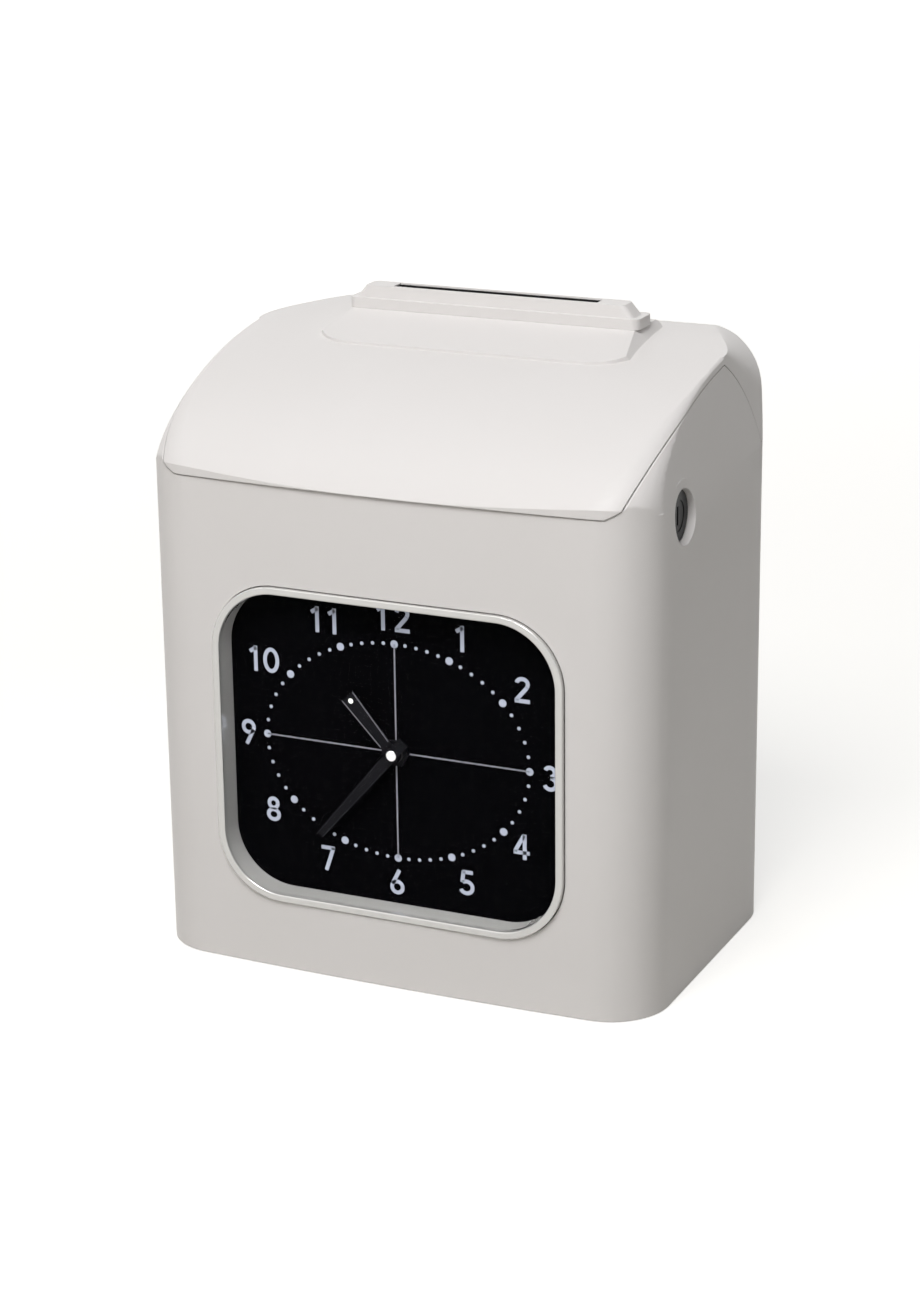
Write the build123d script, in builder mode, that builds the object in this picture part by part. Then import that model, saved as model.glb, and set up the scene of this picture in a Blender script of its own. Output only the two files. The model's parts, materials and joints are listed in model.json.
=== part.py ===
"""Punch time clock: a moulded desk casing with an analogue dial, a hinged and locked top cover with
a card slot, and inside it the card guides, feed rollers, print carriage and electronics.

Millimetres. Origin at the middle of the footprint on the table, +Z up, the dial faces -Y."""
from build123d import *
from math import asin, acos, cos, degrees, radians, sin, sqrt
import os

os.makedirs("parts", exist_ok=True)

# ---------------------------------------------------------------- casing
width = 210.0                # across the sides
depth = 144.0                # front of the brow to the rear face
brow_bow = 4.0               # how far the cover's front bulges over its width
front_bow = 2.75             # the same for the lower front, which leaves a small lip under the brow
front_corner_radius = 24.0
rear_corner_radius = 26.0
wall = 2.6
foot_height = 3.0
skirt_height = 0.4           # lower edge of the housing above the table
crease_height = 195.2        # where the cover meets the lower front
arch_rise = 43.6             # top of the arch above the crease
arch_run = 0.9236 * depth    # from the front to the arch's highest line
arch_drop = 14.0             # the arch's centre below the crease, so that it starts with a slope
rear_top_radius = 9.0
lean_start = crease_height - 10.2    # above this height the sides lean in
lean = 7.0                   # how far they lean in at the top
lean_radius = 150.0          # the soft bend where the lean starts
band_edge_radius = 2.0       # edge of the front band, which ends at the cheek's point
shoulder_radius = 36.0       # the same edge at the rear
fan_steps = 6                # sections that carry the rounding from the crease to the cheek's point
fan_hub = 5.0                # those sections start this far from the foot of the cheek's point
edge_fade = 4                # how fast the rounding falls off along the edge
edge_ease = 0.15             # the rounding stands this far off the flat faces beside it
parting_gap = 0.4            # between cover and housing
cover_lap = 3.0              # depth of the cover's edge outside the cheeks
apex_run = 0.632 * depth     # from the front to the point of the cheek
cheek_rear_run = 0.84 * depth    # from the front to the foot of the cheek's rear curve
cheek_rear_height = crease_height + 2.0

front = -depth / 2 + brow_bow
rear = depth / 2
arch_y = front + arch_run
arch_z = crease_height - arch_drop
arch_b = arch_rise + arch_drop
arch_a = (arch_run + brow_bow) / sqrt(1 - (arch_drop / arch_b) ** 2)
apex_y = front + apex_run
top_height = crease_height + arch_rise

# ---------------------------------------------------------------- hinge
hinge_setback = 4.2          # pin axis in front of the rear face
hinge_height = crease_height + 6.3
knuckle_radius = 3.5
knuckle_width = 16.0
knuckle_x = 46.0             # middle of each pair of knuckles
pin_radius = 1.5
running_gap = 0.05           # radial clearance of every turning fit
hinge_y = rear - hinge_setback
swing_room = 0.4

# ---------------------------------------------------------------- card slot
card_width = 85.0
slot_run = depth * 13 / 18    # from the front to the middle of the slot
slot_width = card_width + 1.5
slot_depth = 6.4
collar_front = 6.5           # collar's front face before the slot's middle
collar_depth = 15.0
collar_width = 123.0
collar_step_width = 118.0
collar_top_width = 110.0
collar_base_height = top_height + 3.0
collar_step_height = collar_base_height + 4.2
slot_height = collar_step_height + 4.8
throat_wall = 2.0
throat_bottom = slot_height - 19.3
pad_run = 0.5 * depth        # from the front to the pad's front edge
pad_width = 136.0
pad_front_height = top_height - 4.9
pad_corner_radius = 18.0
pad_rear_setback = 14.0
slot_y = front + slot_run

# ---------------------------------------------------------------- dial
bezel_width = width - 65.0
bezel_height = 127.4
bezel_radius = 27.0
bezel_z = 92.0
bezel_rim = 3.0
bezel_proud = 0.9
bezel_flange = 4.0
bezel_flange_thickness = 2.0
bezel_fit = 0.3
lens_thickness = 1.6
dial_recess = 7.0            # dial face behind the casing's corner line
dial_thickness = 1.2
dial_overlap = 2.4
dial_z = bezel_z + 1.0
arbor_radius = 0.85
hour_tube_radius = 1.55
bush_radius = 3.5
minute_hand_length = 48.0
minute_hand_root = 4.6
minute_hand_tip = 2.8
minute_hand_tail = 8.0
hour_hand_length = 28.0
hour_hand_root = 4.6
hour_hand_tip = 6.4
minute_hand_angle = 220.4    # clockwise from twelve
hour_hand_angle = 318.4
hand_thickness = 0.5
movement_size = 56.0
movement_depth = 16.0
dial_y = front + dial_recess
bezel_seat = front + wall + 0.2

# ---------------------------------------------------------------- lock
lock_run = depth / 4 + 0.6   # from the front
lock_z = crease_height - 6.5
lock_recess_radius = 10.5
lock_recess_depth = 4.6
lock_boss_radius = 14.0
lock_boss_depth = 3.0
lock_body_radius = 9.0
lock_core_radius = 6.0
lock_length = 21.0
cam_length = 20.0
cam_width = 8.0
cam_thickness = 2.0
catch_gap = 1.0
catch_width = 10.0
catch_thickness = 1.5
catch_boss = 6.0
catch_boss_height = 16.0
lock_y = front + lock_run
lock_face_x = width / 2 - lock_recess_depth
cam_x = lock_face_x - lock_length - cam_thickness / 2

# ---------------------------------------------------------------- base, back and chassis
base_thickness = 3.0
base_fit = 0.4               # between base plate and housing
foot_radius = 8.0
case_boss_radius = 6.8
case_boss_height = 24.0
case_boss_hole = 1.2
case_boss_sink = 1.8         # how far each boss runs into the housing's corner
back_width = width - 56.0
back_low = 12.0
back_high = crease_height - 5.2
back_lip = 2.0
back_lip_thickness = 2.0
wall_hole_spacing = 120.0
wall_hole_height = back_high - 20.0
wall_hole_radius = 2.75
sheet = 1.2
cheek_x = width / 2 - 39.0   # inner face of each chassis cheek
cheek_front = slot_y - 44.0
cheek_step = back_high       # the cheeks step forward above this height, clear of the hinge
cheek_rear = slot_y + 24.0
flange_width = 12.0
arm_front = front + 10.0
deck_height = crease_height + 0.8
deck_rear = slot_y - 63.0
arm_low = deck_height - 18.0
foot_side = 32.0             # feet in from the sides
foot_end = 40.0              # feet in from the front and the rear
base_low = foot_height
base_top = base_low + base_thickness
back_front = rear - wall - back_lip_thickness

# ---------------------------------------------------------------- buttons and display
button_pitch = cheek_x * 7 / 33
button_first_x = cheek_x * 4 / 33
button_y = (arm_front + deck_rear) / 2 + 0.5
button_radius = 4.0
button_travel = 1.5
button_stand = 2.2           # cap above the deck
button_flange = 1.25
button_names = ("mode_button", "plus_button", "minus_button", "enter_button")
display_width = cheek_x - 14.0
display_depth = 16.0
display_x = -cheek_x * 5 / 11
board_thickness = 1.6
button_board_drop = 9.0      # board's top below the deck's underside

# ---------------------------------------------------------------- card path and feed
guide_gap = 5.2
guide_thickness = 1.2
guide_width = 100.0
rail_width = 3.0
stop_height = 4.0
feed_z = crease_height - 27.2
roller_radius = 8.0
roller_width = 14.0
roller_x = 25.0
nip = 0.3
feed_shaft_radius = 3.0
pinch_shaft_radius = 2.5
gear_module = 1.0
feed_teeth = 36
pinion_teeth = 12
gear_width = 4.0
tooth_root = 1.9
tooth_tip = 0.6
gear_x = cheek_x + 3.0
motor_radius = 12.0
pinion_lean = 20.0           # the pinion lies this far behind straight below the feed gear
feed_motor_length = 13.0
carriage_motor_length = 18.0
motor_shaft_radius = 1.5
rod_z = top_height - 44.8    # the carriage's guide rod
guide_low = feed_z - 102.0
guide_high = rod_z + 35.5
cheek_top = rod_z + 28.0
guide_front_y = slot_y - guide_gap / 2
guide_rear_y = slot_y + guide_gap / 2
feed_y = slot_y + roller_radius + nip / 2
pinch_y = slot_y - roller_radius - nip / 2
gear_distance = gear_module * (feed_teeth + pinion_teeth) / 2
pinion_y = feed_y + gear_distance * sin(radians(pinion_lean))
pinion_z = feed_z - gear_distance * cos(radians(pinion_lean))

# ---------------------------------------------------------------- print carriage
carriage_width = 24.0
carriage_front = slot_y - 29.0
carriage_rear = slot_y - 14.0
carriage_low = rod_z - 6.0
carriage_high = rod_z + 19.0
rod_y = slot_y - 21.0
rod_radius = 4.0
rail_y = slot_y - 24.0
rail_z = rod_z + 14.0
rail_radius = 2.5
head_width = 18.0
nose_reach = slot_y - guide_gap / 2 - guide_thickness - 1.6
window_low = rod_z + 5.0
window_high = rod_z + 16.0
pulley_x = cheek_x - 16.0
pulley_z = rod_z + 7.0
pulley_radius = 6.0
belt_thickness = 1.2
belt_width = 6.0
belt_front = slot_y - 40.0
belt_plate_y = belt_front - 3.2
belt_gap = 0.3
cartridge_low = rod_z + 20.5
cartridge_high = rod_z + 29.0
cartridge_front = slot_y - 32.0
cartridge_rear = slot_y - 8.0
cartridge_width = 2 * cheek_x - 20.0
ribbon_thickness = 0.3
knob_radius = 7.0
knob_height = 4.0
knob_x = -40.0
knob_y = slot_y - 20.0

# ---------------------------------------------------------------- electronics
board_gap = 8.4
board_low = 34.0
board_high = feed_z - 10.0
board_front = cheek_front + 2.0
board_rear = slot_y + 14.0
heat_sink_height = 30.0
heat_sink_depth = 14.0
chip_length = 30.0
chip_height = 16.0
capacitor_radius = 5.0
capacitor_length = 16.0
inlet_x = back_width / 2 - 25.0
inlet_z = 32.0
inlet_width = 27.0
inlet_height = 19.5
inlet_depth = 17.0
transformer_low_x = cheek_x + 6.0
transformer_width = 26.0
transformer_front = front + 34.0
transformer_length = 44.0
transformer_height = 38.0
battery_width = 60.0
battery_front = slot_y - 76.0
battery_depth = 26.0
battery_height = 24.0


def block(x, y, z, mode=Mode.ADD):
    """A box between two values on each axis."""
    with Locations(((x[0] + x[1]) / 2, (y[0] + y[1]) / 2, (z[0] + z[1]) / 2)):
        Box(x[1] - x[0], y[1] - y[0], z[1] - z[0], mode=mode)


def rod(start, end, radius, mode=Mode.ADD):
    """A round rod between two points."""
    along = Vector(*end) - Vector(*start)
    with BuildSketch(Plane(origin=start, z_dir=along)) as end_face:
        Circle(radius)
    extrude(end_face.sketch, amount=along.length, mode=mode)


def casing_plan(inset, bow, height=0):
    """The casing's plan: a rectangle with a bowed front and rounded corners."""
    side = width / 2 - inset
    with BuildSketch(Plane.XY.offset(height)) as plan:
        with BuildLine():
            ThreePointArc((-side, front + inset), (0, front + inset - bow), (side, front + inset))
            Polyline((side, front + inset), (side, rear - inset), (-side, rear - inset),
                     (-side, front + inset))
        make_face()
        fillet(plan.vertices().group_by(Axis.Y)[0], front_corner_radius - inset)
        fillet(plan.vertices().group_by(Axis.Y)[-1], rear_corner_radius - inset)
    return plan.sketch


def shoulder_section(y, inset, radius):
    """An upright section across the casing: sides that lean in, and a rounded top edge."""
    side = width / 2 - inset
    top = top_height + 1 - inset
    edge = max(radius - inset, 0.5)
    with BuildSketch(Plane.XZ.offset(-y)) as section:
        with BuildLine():
            Line((-side, -10), (side, -10))
            Line((side, -10), (side, lean_start))
            Line((side, lean_start), (side - lean, top))
            Line((side - lean, top), (-side + lean, top))
            Line((-side + lean, top), (-side, lean_start))
            Line((-side, lean_start), (-side, -10))
        make_face()
        fillet(section.vertices().group_by(Axis.Y)[-1], edge)
        fillet(section.vertices().filter_by_position(Axis.Y, lean_start - 1, lean_start + 1), lean_radius)
    return section.sketch


def edge_rounding(inset):
    """What the cover's side edges lose in front of the cheek's point. Measured in planes turned about
    the point's foot, their radius goes from the plan's corner at the crease to the band's edge."""
    a = arch_a - inset
    b = arch_b - inset
    slope = lean / (top_height + 1 - inset - lean_start)
    sections = []
    for step in range(fan_steps + 1):
        turn = radians(90 * step / fan_steps)
        away_y = (apex_y - arch_y) / a
        away_z = (crease_height - arch_z) / b
        square = (cos(turn) / a) ** 2 + (sin(turn) / b) ** 2
        linear = away_z * sin(turn) / b - away_y * cos(turn) / a
        rest = away_y**2 + away_z**2 - 1
        reach = (sqrt(linear**2 - square * rest) - linear) / square
        low = width / 2 - inset - slope * (crease_height - lean_start) + edge_ease
        high = low - slope * reach * sin(turn)
        fade = (1 - step / fan_steps) ** edge_fade
        edge = band_edge_radius + fade * (front_corner_radius - band_edge_radius) - inset
        facing = Plane((0, apex_y, crease_height), x_dir=(1, 0, 0), z_dir=(0, -sin(turn), -cos(turn)))
        with BuildSketch(facing) as section:
            Polygon((-low, fan_hub), (low, fan_hub), (high, reach + edge_ease), (-high, reach + edge_ease), align=None)
            fillet(section.vertices().group_by(Axis.Y)[-1], max(edge, 0.5) + edge_ease)
        sections.append(section.sketch)
    with BuildPart() as rounding:
        block((-width, width), (front - 3 * brow_bow, apex_y), (crease_height, top_height + 5))
        block((-width - 1, width + 1), (apex_y - 4 * fan_hub, apex_y + 1),
              (crease_height - 1, crease_height + 4 * fan_hub), Mode.SUBTRACT)
        loft(sections, mode=Mode.SUBTRACT)
    return rounding.part


def casing_form(inset, bow):
    """The casing as one solid, all its faces moved in by the inset."""
    with BuildPart() as sides:
        loft([shoulder_section(front - brow_bow - 1, inset, band_edge_radius),
              shoulder_section(apex_y, inset, band_edge_radius)], ruled=True)
        loft([shoulder_section(apex_y, inset, band_edge_radius),
              shoulder_section(rear, inset, shoulder_radius)], ruled=True)
    with BuildPart() as form:
        extrude(casing_plan(inset, bow), amount=top_height + 20)
        with BuildSketch(Plane.YZ) as side:
            with BuildLine():
                rise = degrees(asin(arch_drop / (arch_b - inset)))
                arch = EllipticalCenterArc((arch_y, arch_z), arch_a - inset, arch_b - inset,
                                           start_angle=90, arc_size=90 - rise)
                Polyline(arch @ 1, (front - 2 * brow_bow, crease_height), (front - 2 * brow_bow, -1),
                         (rear - inset, -1), (rear - inset, top_height - inset), arch @ 0)
            make_face()
        extrude(amount=width, both=True, mode=Mode.INTERSECT)
        with BuildSketch(Plane.YZ) as back:
            with Locations((0, top_height / 2 - inset)):
                Rectangle(2 * (rear - inset), top_height)
            fillet(back.vertices().group_by(Axis.Y)[-1].sort_by(Axis.X)[-1], rear_top_radius - inset)
            with Locations((front - brow_bow, top_height / 2 - inset)):
                Rectangle(depth / 2, top_height)
        extrude(amount=width, both=True, mode=Mode.INTERSECT)
        add(sides.part, mode=Mode.INTERSECT)
        add(edge_rounding(inset), mode=Mode.SUBTRACT)
    return form.part


def below_parting(gap, rear_level):
    """Everything under the cover: its side view is the pointed outline of the cheeks."""
    with BuildPart() as under:
        with BuildSketch(Plane.YZ):
            with BuildLine():
                a = arch_a - cover_lap - gap
                b = arch_b - cover_lap - gap
                low = degrees(asin((arch_drop - gap) / b))
                high = degrees(acos((arch_y - apex_y) / a))
                arch = EllipticalCenterArc((arch_y, arch_z), a, b, start_angle=180 - high,
                                           arc_size=high - low)
                foot_y = front + cheek_rear_run
                curve = ThreePointArc(arch @ 0, ((apex_y + foot_y) / 2 + 4, (arch @ 0).Y - 16),
                                      (foot_y, cheek_rear_height - gap))
                step_y = hinge_y - knuckle_radius - swing_room + gap
                Polyline(curve @ 1, (step_y, cheek_rear_height - gap), (step_y, rear_level),
                         (rear + 1, rear_level), (rear + 1, -1), (front - 2 * brow_bow, -1),
                         (front - 2 * brow_bow, crease_height - gap), arch @ 1)
            make_face()
        extrude(amount=width, both=True)
    return under.part


def bezel_outline(y, grow, radius):
    """The dial window's rounded outline on an upright plane."""
    with BuildSketch(Plane.XZ.offset(-y)) as outline:
        with Locations((0, bezel_z)):
            RectangleRounded(bezel_width + 2 * grow, bezel_height + 2 * grow, radius + grow)
    return outline.sketch


def hand_blade(length, root, tip, tail):
    """A hand's tapered blade, pointing up from its axis."""
    Polygon((-root / 2, -tail), (root / 2, -tail), (tip / 2, length), (-tip / 2, length), align=None)


def gear_wheel(x, y, z, teeth, bore, first=0):
    """A spur gear across the X axis, its teeth a little thin for backlash."""
    root = gear_module * (teeth - 2.5) / 2
    tip = gear_module * (teeth + 1.8) / 2
    with BuildSketch(Plane.YZ.offset(x)) as wheel:
        with Locations((y, z)):
            Circle(root)
            with PolarLocations(0, teeth, start_angle=first):
                Polygon((root - 0.5, -tooth_root / 2), (root - 0.5, tooth_root / 2),
                        (tip, tooth_tip / 2), (tip, -tooth_tip / 2), align=None)
            Circle(bore, mode=Mode.SUBTRACT)
    extrude(wheel.sketch, amount=gear_width)


def hinge_knuckle(x):
    """One barrel of the hinge, along X about the pin's axis."""
    rod((x - knuckle_width / 2, hinge_y, hinge_height), (x + knuckle_width / 2, hinge_y, hinge_height),
        knuckle_radius)


# ---------------------------------------------------------------- housing
front_corner = (width / 2 - front_corner_radius, front + front_corner_radius)
rear_corner = (width / 2 - rear_corner_radius, rear - rear_corner_radius)
front_boss = (front_corner_radius - wall - case_boss_radius + case_boss_sink) / sqrt(2)
rear_boss = (rear_corner_radius - wall - case_boss_radius + case_boss_sink) / sqrt(2)
case_bosses = [
    (side * (corner[0] + reach), corner[1] + ahead * reach)
    for side in (-1, 1)
    for corner, reach, ahead in ((front_corner, front_boss, -1), (rear_corner, rear_boss, 1))
]
housing_rear_height = hinge_height - knuckle_radius - swing_room - 1.2

with BuildPart() as housing:
    add(casing_form(0, front_bow))
    add(casing_form(wall, front_bow), mode=Mode.SUBTRACT)
    add(below_parting(parting_gap, housing_rear_height), mode=Mode.INTERSECT)
    block((-width, width), (-depth, depth), (-1, skirt_height), mode=Mode.SUBTRACT)
    # corner bosses that the base is screwed to
    with BuildSketch(Plane.XY.offset(base_top)):
        with Locations(*case_bosses):
            Circle(case_boss_radius)
    extrude(amount=case_boss_height)
    with BuildSketch(Plane.XY.offset(base_top)):
        with Locations(*case_bosses):
            Circle(case_boss_hole)
    extrude(amount=case_boss_height - 4, mode=Mode.SUBTRACT)
    # dial window, with a flat seat behind the bowed wall for the bezel's flange
    extrude(bezel_outline(bezel_seat, bezel_flange, bezel_radius), amount=wall + 0.6)
    extrude(bezel_outline(front - 2 * brow_bow, bezel_fit, bezel_radius),
            amount=-(2 * brow_bow + dial_recess), mode=Mode.SUBTRACT)
    # lock boss, its sunk face and the hole for the lock's body
    rod((lock_face_x - lock_boss_depth, lock_y, lock_z), (lock_face_x + wall, lock_y, lock_z),
        lock_boss_radius)
    rod((lock_face_x, lock_y, lock_z), (width, lock_y, lock_z), lock_recess_radius, Mode.SUBTRACT)
    rod((lock_face_x - 10, lock_y, lock_z), (width, lock_y, lock_z), lock_body_radius + 0.1,
        Mode.SUBTRACT)
    # rear opening and the hinge's lower knuckles
    block((-back_width / 2 - 0.3, back_width / 2 + 0.3), (rear - 2 * wall, rear + 1),
          (back_low - 0.3, back_high + 0.3), mode=Mode.SUBTRACT)
    for side in (-1, 1):
        x = side * knuckle_x
        hinge_knuckle(x)
        block((x - knuckle_width / 2, x + knuckle_width / 2), (hinge_y - knuckle_radius, rear - 0.6),
              (housing_rear_height - 4, hinge_height - 1))
    rod((-width / 2, hinge_y, hinge_height), (width / 2, hinge_y, hinge_height),
        pin_radius + running_gap, Mode.SUBTRACT)
housing.part.label = "housing"
export_step(housing.part, "parts/housing.step")

# ---------------------------------------------------------------- top cover with its pad, hinge and catch
pad_front = front + pad_run
pad_rear = rear - pad_rear_setback
collar_front_y = slot_y - collar_front

with BuildPart() as pad:
    with BuildSketch(Plane.XY.offset(top_height - 30)) as outline:
        with Locations((0, (pad_front + pad_rear) / 2)):
            RectangleRounded(pad_width, pad_rear - pad_front, pad_corner_radius)
    extrude(amount=60)
    with BuildSketch(Plane.YZ):
        with BuildLine():
            Polyline((pad_front - 1, top_height - 25), (pad_front - 1, pad_front_height),
                     (collar_front_y, collar_base_height), (pad_rear - 6, collar_base_height),
                     (pad_rear + 1, top_height - 4), (pad_rear + 1, top_height - 25),
                     (pad_front - 1, top_height - 25))
        make_face()
    extrude(amount=width, both=True, mode=Mode.INTERSECT)
    with BuildSketch(Plane.XZ.offset(-pad_rear - 1)):
        with BuildLine():
            Polyline((-pad_width / 2, top_height - 25), (-pad_width / 2, top_height - 8),
                     (-pad_width / 2 + 8, collar_base_height), (pad_width / 2 - 8, collar_base_height),
                     (pad_width / 2, top_height - 8), (pad_width / 2, top_height - 25),
                     (-pad_width / 2, top_height - 25))
        make_face()
    extrude(amount=depth, mode=Mode.INTERSECT)

catch_x = cam_x - cam_thickness / 2 - catch_gap
catch_y = lock_y + cam_length - 4
catch_foot_top = lock_z - cam_width / 2 - catch_gap

with BuildPart() as top_cover:
    add(casing_form(0, brow_bow))
    add(pad.part)
    add(casing_form(wall, brow_bow), mode=Mode.SUBTRACT)
    add(below_parting(0, hinge_height + swing_room), mode=Mode.SUBTRACT)
    # throat for the slot collar
    block((-slot_width / 2 - throat_wall - 0.1, slot_width / 2 + throat_wall + 0.1),
          (slot_y - slot_depth / 2 - throat_wall - 0.1, slot_y + slot_depth / 2 + throat_wall + 0.1),
          (throat_bottom, slot_height), mode=Mode.SUBTRACT)
    # hinge: notches that clear the housing's knuckles, and the cover's own knuckles beside them
    for side in (-1, 1):
        x = side * knuckle_x
        block((x - knuckle_width / 2 - swing_room, x + knuckle_width / 2 + swing_room),
              (hinge_y - knuckle_radius - swing_room, rear + 1),
              (hinge_height - 1, hinge_height + knuckle_radius + 1.5), mode=Mode.SUBTRACT)
        for step in (-1, 1):
            hinge_knuckle(x + step * (knuckle_width + 2 * swing_room))
    rod((-width / 2, hinge_y, hinge_height), (width / 2, hinge_y, hinge_height),
        pin_radius + running_gap, Mode.SUBTRACT)
    # boss under the roof that holds the catch
    roof = arch_z + arch_b * sqrt(1 - ((arch_y - catch_y) / arch_a) ** 2)
    block((catch_x - catch_thickness - catch_boss, catch_x - catch_thickness),
          (catch_y - catch_width / 2, catch_y + catch_width / 2), (roof - catch_boss_height, roof - 2))
top_cover.part.label = "top_cover"
export_step(top_cover.part, "parts/top_cover.step")

# the cover's catch: a bent strip whose foot lies below the lock's cam
with BuildPart() as cover_catch:
    y = (catch_y - catch_width / 2, catch_y + catch_width / 2)
    block((catch_x - catch_thickness, catch_x), y, (catch_foot_top - catch_thickness, roof - 6))
    block((catch_x - catch_thickness, cam_x + cam_thickness / 2), y,
          (catch_foot_top - catch_thickness, catch_foot_top))
cover_catch.part.label = "cover_catch"
export_step(cover_catch.part, "parts/cover_catch.step")

# ---------------------------------------------------------------- slot collar
with BuildPart() as slot_collar:
    with BuildSketch(Plane.XY.offset(collar_base_height)) as lower:
        with Locations((0, collar_front_y + collar_depth / 2)):
            RectangleRounded(collar_width, collar_depth, 3)
    extrude(amount=collar_step_height - collar_base_height)
    with BuildSketch(Plane.XY.offset(collar_step_height)) as step:
        with Locations((0, slot_y)):
            RectangleRounded(collar_step_width, collar_depth - 4, 2.5)
    with BuildSketch(Plane.XY.offset(slot_height)) as lip:
        with Locations((0, slot_y)):
            RectangleRounded(collar_top_width, collar_depth - 5, 2.5)
    loft()
    block((-slot_width / 2 - throat_wall, slot_width / 2 + throat_wall),
          (slot_y - slot_depth / 2 - throat_wall, slot_y + slot_depth / 2 + throat_wall),
          (throat_bottom, collar_base_height))
    block((-slot_width / 2, slot_width / 2), (slot_y - slot_depth / 2, slot_y + slot_depth / 2),
          (throat_bottom - 1, slot_height + 1), mode=Mode.SUBTRACT)
slot_collar.part.label = "slot_collar"
export_step(slot_collar.part, "parts/slot_collar.step")

# ---------------------------------------------------------------- hinge pins
with BuildPart() as hinge_pins:
    reach = 1.5 * knuckle_width + 2 * swing_room
    for side in (-1, 1):
        rod((side * knuckle_x - reach, hinge_y, hinge_height),
            (side * knuckle_x + reach, hinge_y, hinge_height), pin_radius)
hinge_pins.part.label = "hinge_pins"
export_step(hinge_pins.part, "parts/hinge_pins.step")

# ---------------------------------------------------------------- base plate, feet and screws
with BuildPart() as base_plate:
    extrude(casing_plan(wall + base_fit, front_bow, base_low), amount=base_thickness)
    with BuildSketch(Plane.XY.offset(base_low)):
        with Locations(*case_bosses):
            Circle(case_boss_hole + 0.4)
    extrude(amount=base_thickness, mode=Mode.SUBTRACT)
base_plate.part.label = "base_plate"
export_step(base_plate.part, "parts/base_plate.step")

feet_at = [(side * (width / 2 - foot_side), y)
           for side in (-1, 1) for y in (front + foot_end, rear - foot_end)]
with BuildPart() as rubber_feet:
    with BuildSketch():
        with Locations(*feet_at):
            Circle(foot_radius)
    extrude(amount=foot_height)
    chamfer(rubber_feet.edges().group_by(Axis.Z)[0], 0.6)
rubber_feet.part.label = "rubber_feet"
export_step(rubber_feet.part, "parts/rubber_feet.step")

with BuildPart() as case_screws:
    with BuildSketch(Plane.XY.offset(base_low)):
        with Locations(*case_bosses):
            Circle(3.0)
    extrude(amount=-1.3)
    with BuildSketch(Plane.XY.offset(base_low)):
        with Locations(*case_bosses):
            Circle(case_boss_hole - running_gap)
    extrude(amount=base_thickness + case_boss_height - 8)
case_screws.part.label = "case_screws"
export_step(case_screws.part, "parts/case_screws.step")

# ---------------------------------------------------------------- back plate
with BuildPart() as back_plate:
    block((-back_width / 2, back_width / 2), (back_front + back_lip_thickness, rear),
          (back_low, back_high))
    block((-back_width / 2 - back_lip, back_width / 2 + back_lip),
          (back_front, back_front + back_lip_thickness), (back_low - back_lip, back_high + back_lip))
    for side in (-1, 1):
        x = side * wall_hole_spacing / 2
        rod((x, back_front - 1, wall_hole_height), (x, rear + 1, wall_hole_height), wall_hole_radius,
            Mode.SUBTRACT)
    # cooling slots low on the left
    for step in range(6):
        block((11 - back_width / 2, 47 - back_width / 2), (back_front - 1, rear + 1),
              (24 + 6 * step, 26.5 + 6 * step), mode=Mode.SUBTRACT)
    # seat of the power inlet
    block((inlet_x - inlet_width / 2 - 0.1, inlet_x + inlet_width / 2 + 0.1), (back_front - 1, rear + 1),
          (inlet_z - inlet_height / 2 - 0.1, inlet_z + inlet_height / 2 + 0.1), mode=Mode.SUBTRACT)
back_plate.part.label = "back_plate"
export_step(back_plate.part, "parts/back_plate.step")

# ---------------------------------------------------------------- lock
with BuildPart() as lock_barrel:
    rod((lock_face_x - lock_length + 1, lock_y, lock_z), (lock_face_x, lock_y, lock_z), lock_body_radius)
    rod((lock_face_x, lock_y, lock_z), (lock_face_x + 1.2, lock_y, lock_z), lock_recess_radius - 0.3)
    chamfer(lock_barrel.edges().sort_by(Axis.X)[-1], 0.5)
    rod((lock_face_x - lock_length, lock_y, lock_z), (lock_face_x + 2, lock_y, lock_z),
        lock_core_radius + running_gap, Mode.SUBTRACT)
lock_barrel.part.label = "lock_barrel"
export_step(lock_barrel.part, "parts/lock_barrel.step")

with BuildPart() as lock_core:
    rod((cam_x + cam_thickness / 2, lock_y, lock_z), (lock_face_x + 0.9, lock_y, lock_z),
        lock_core_radius)
    block((lock_face_x - 6, lock_face_x + 1), (lock_y - 0.7, lock_y + 0.7), (lock_z - 3.6, lock_z + 3.6),
          mode=Mode.SUBTRACT)
lock_core.part.label = "lock_core"
export_step(lock_core.part, "parts/lock_core.step")

with BuildPart() as lock_nut:
    with BuildSketch(Plane.YZ.offset(lock_face_x - lock_boss_depth)):
        with Locations((lock_y, lock_z)):
            RegularPolygon(lock_boss_radius - 0.5, 6)
            Circle(lock_body_radius + 0.1, mode=Mode.SUBTRACT)
    extrude(amount=-4)
lock_nut.part.label = "lock_nut"
export_step(lock_nut.part, "parts/lock_nut.step")

with BuildPart() as lock_cam:
    with BuildSketch(Plane.YZ.offset(cam_x - cam_thickness / 2)):
        with Locations((lock_y, lock_z)):
            Circle(lock_core_radius)
        with Locations((lock_y, lock_z + cam_length / 2)):
            Rectangle(cam_width, cam_length)
    extrude(amount=cam_thickness)
lock_cam.part.label = "lock_cam"
export_step(lock_cam.part, "parts/lock_cam.step")

# ---------------------------------------------------------------- dial: bezel, lens, plate and movement
bezel_front = front - front_bow - bezel_proud
with BuildPart() as bezel:
    extrude(bezel_outline(bezel_front, 0, bezel_radius), amount=-(dial_y - bezel_front))
    extrude(bezel_outline(bezel_seat, bezel_flange, bezel_radius), amount=-bezel_flange_thickness)
    extrude(bezel_outline(bezel_front - 1, -bezel_rim, bezel_radius),
            amount=-(dial_y - bezel_front + 2), mode=Mode.SUBTRACT)
    fillet(bezel.edges().group_by(Axis.Y)[0], 0.7)
bezel.part.label = "bezel"
export_step(bezel.part, "parts/bezel.step")

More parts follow.
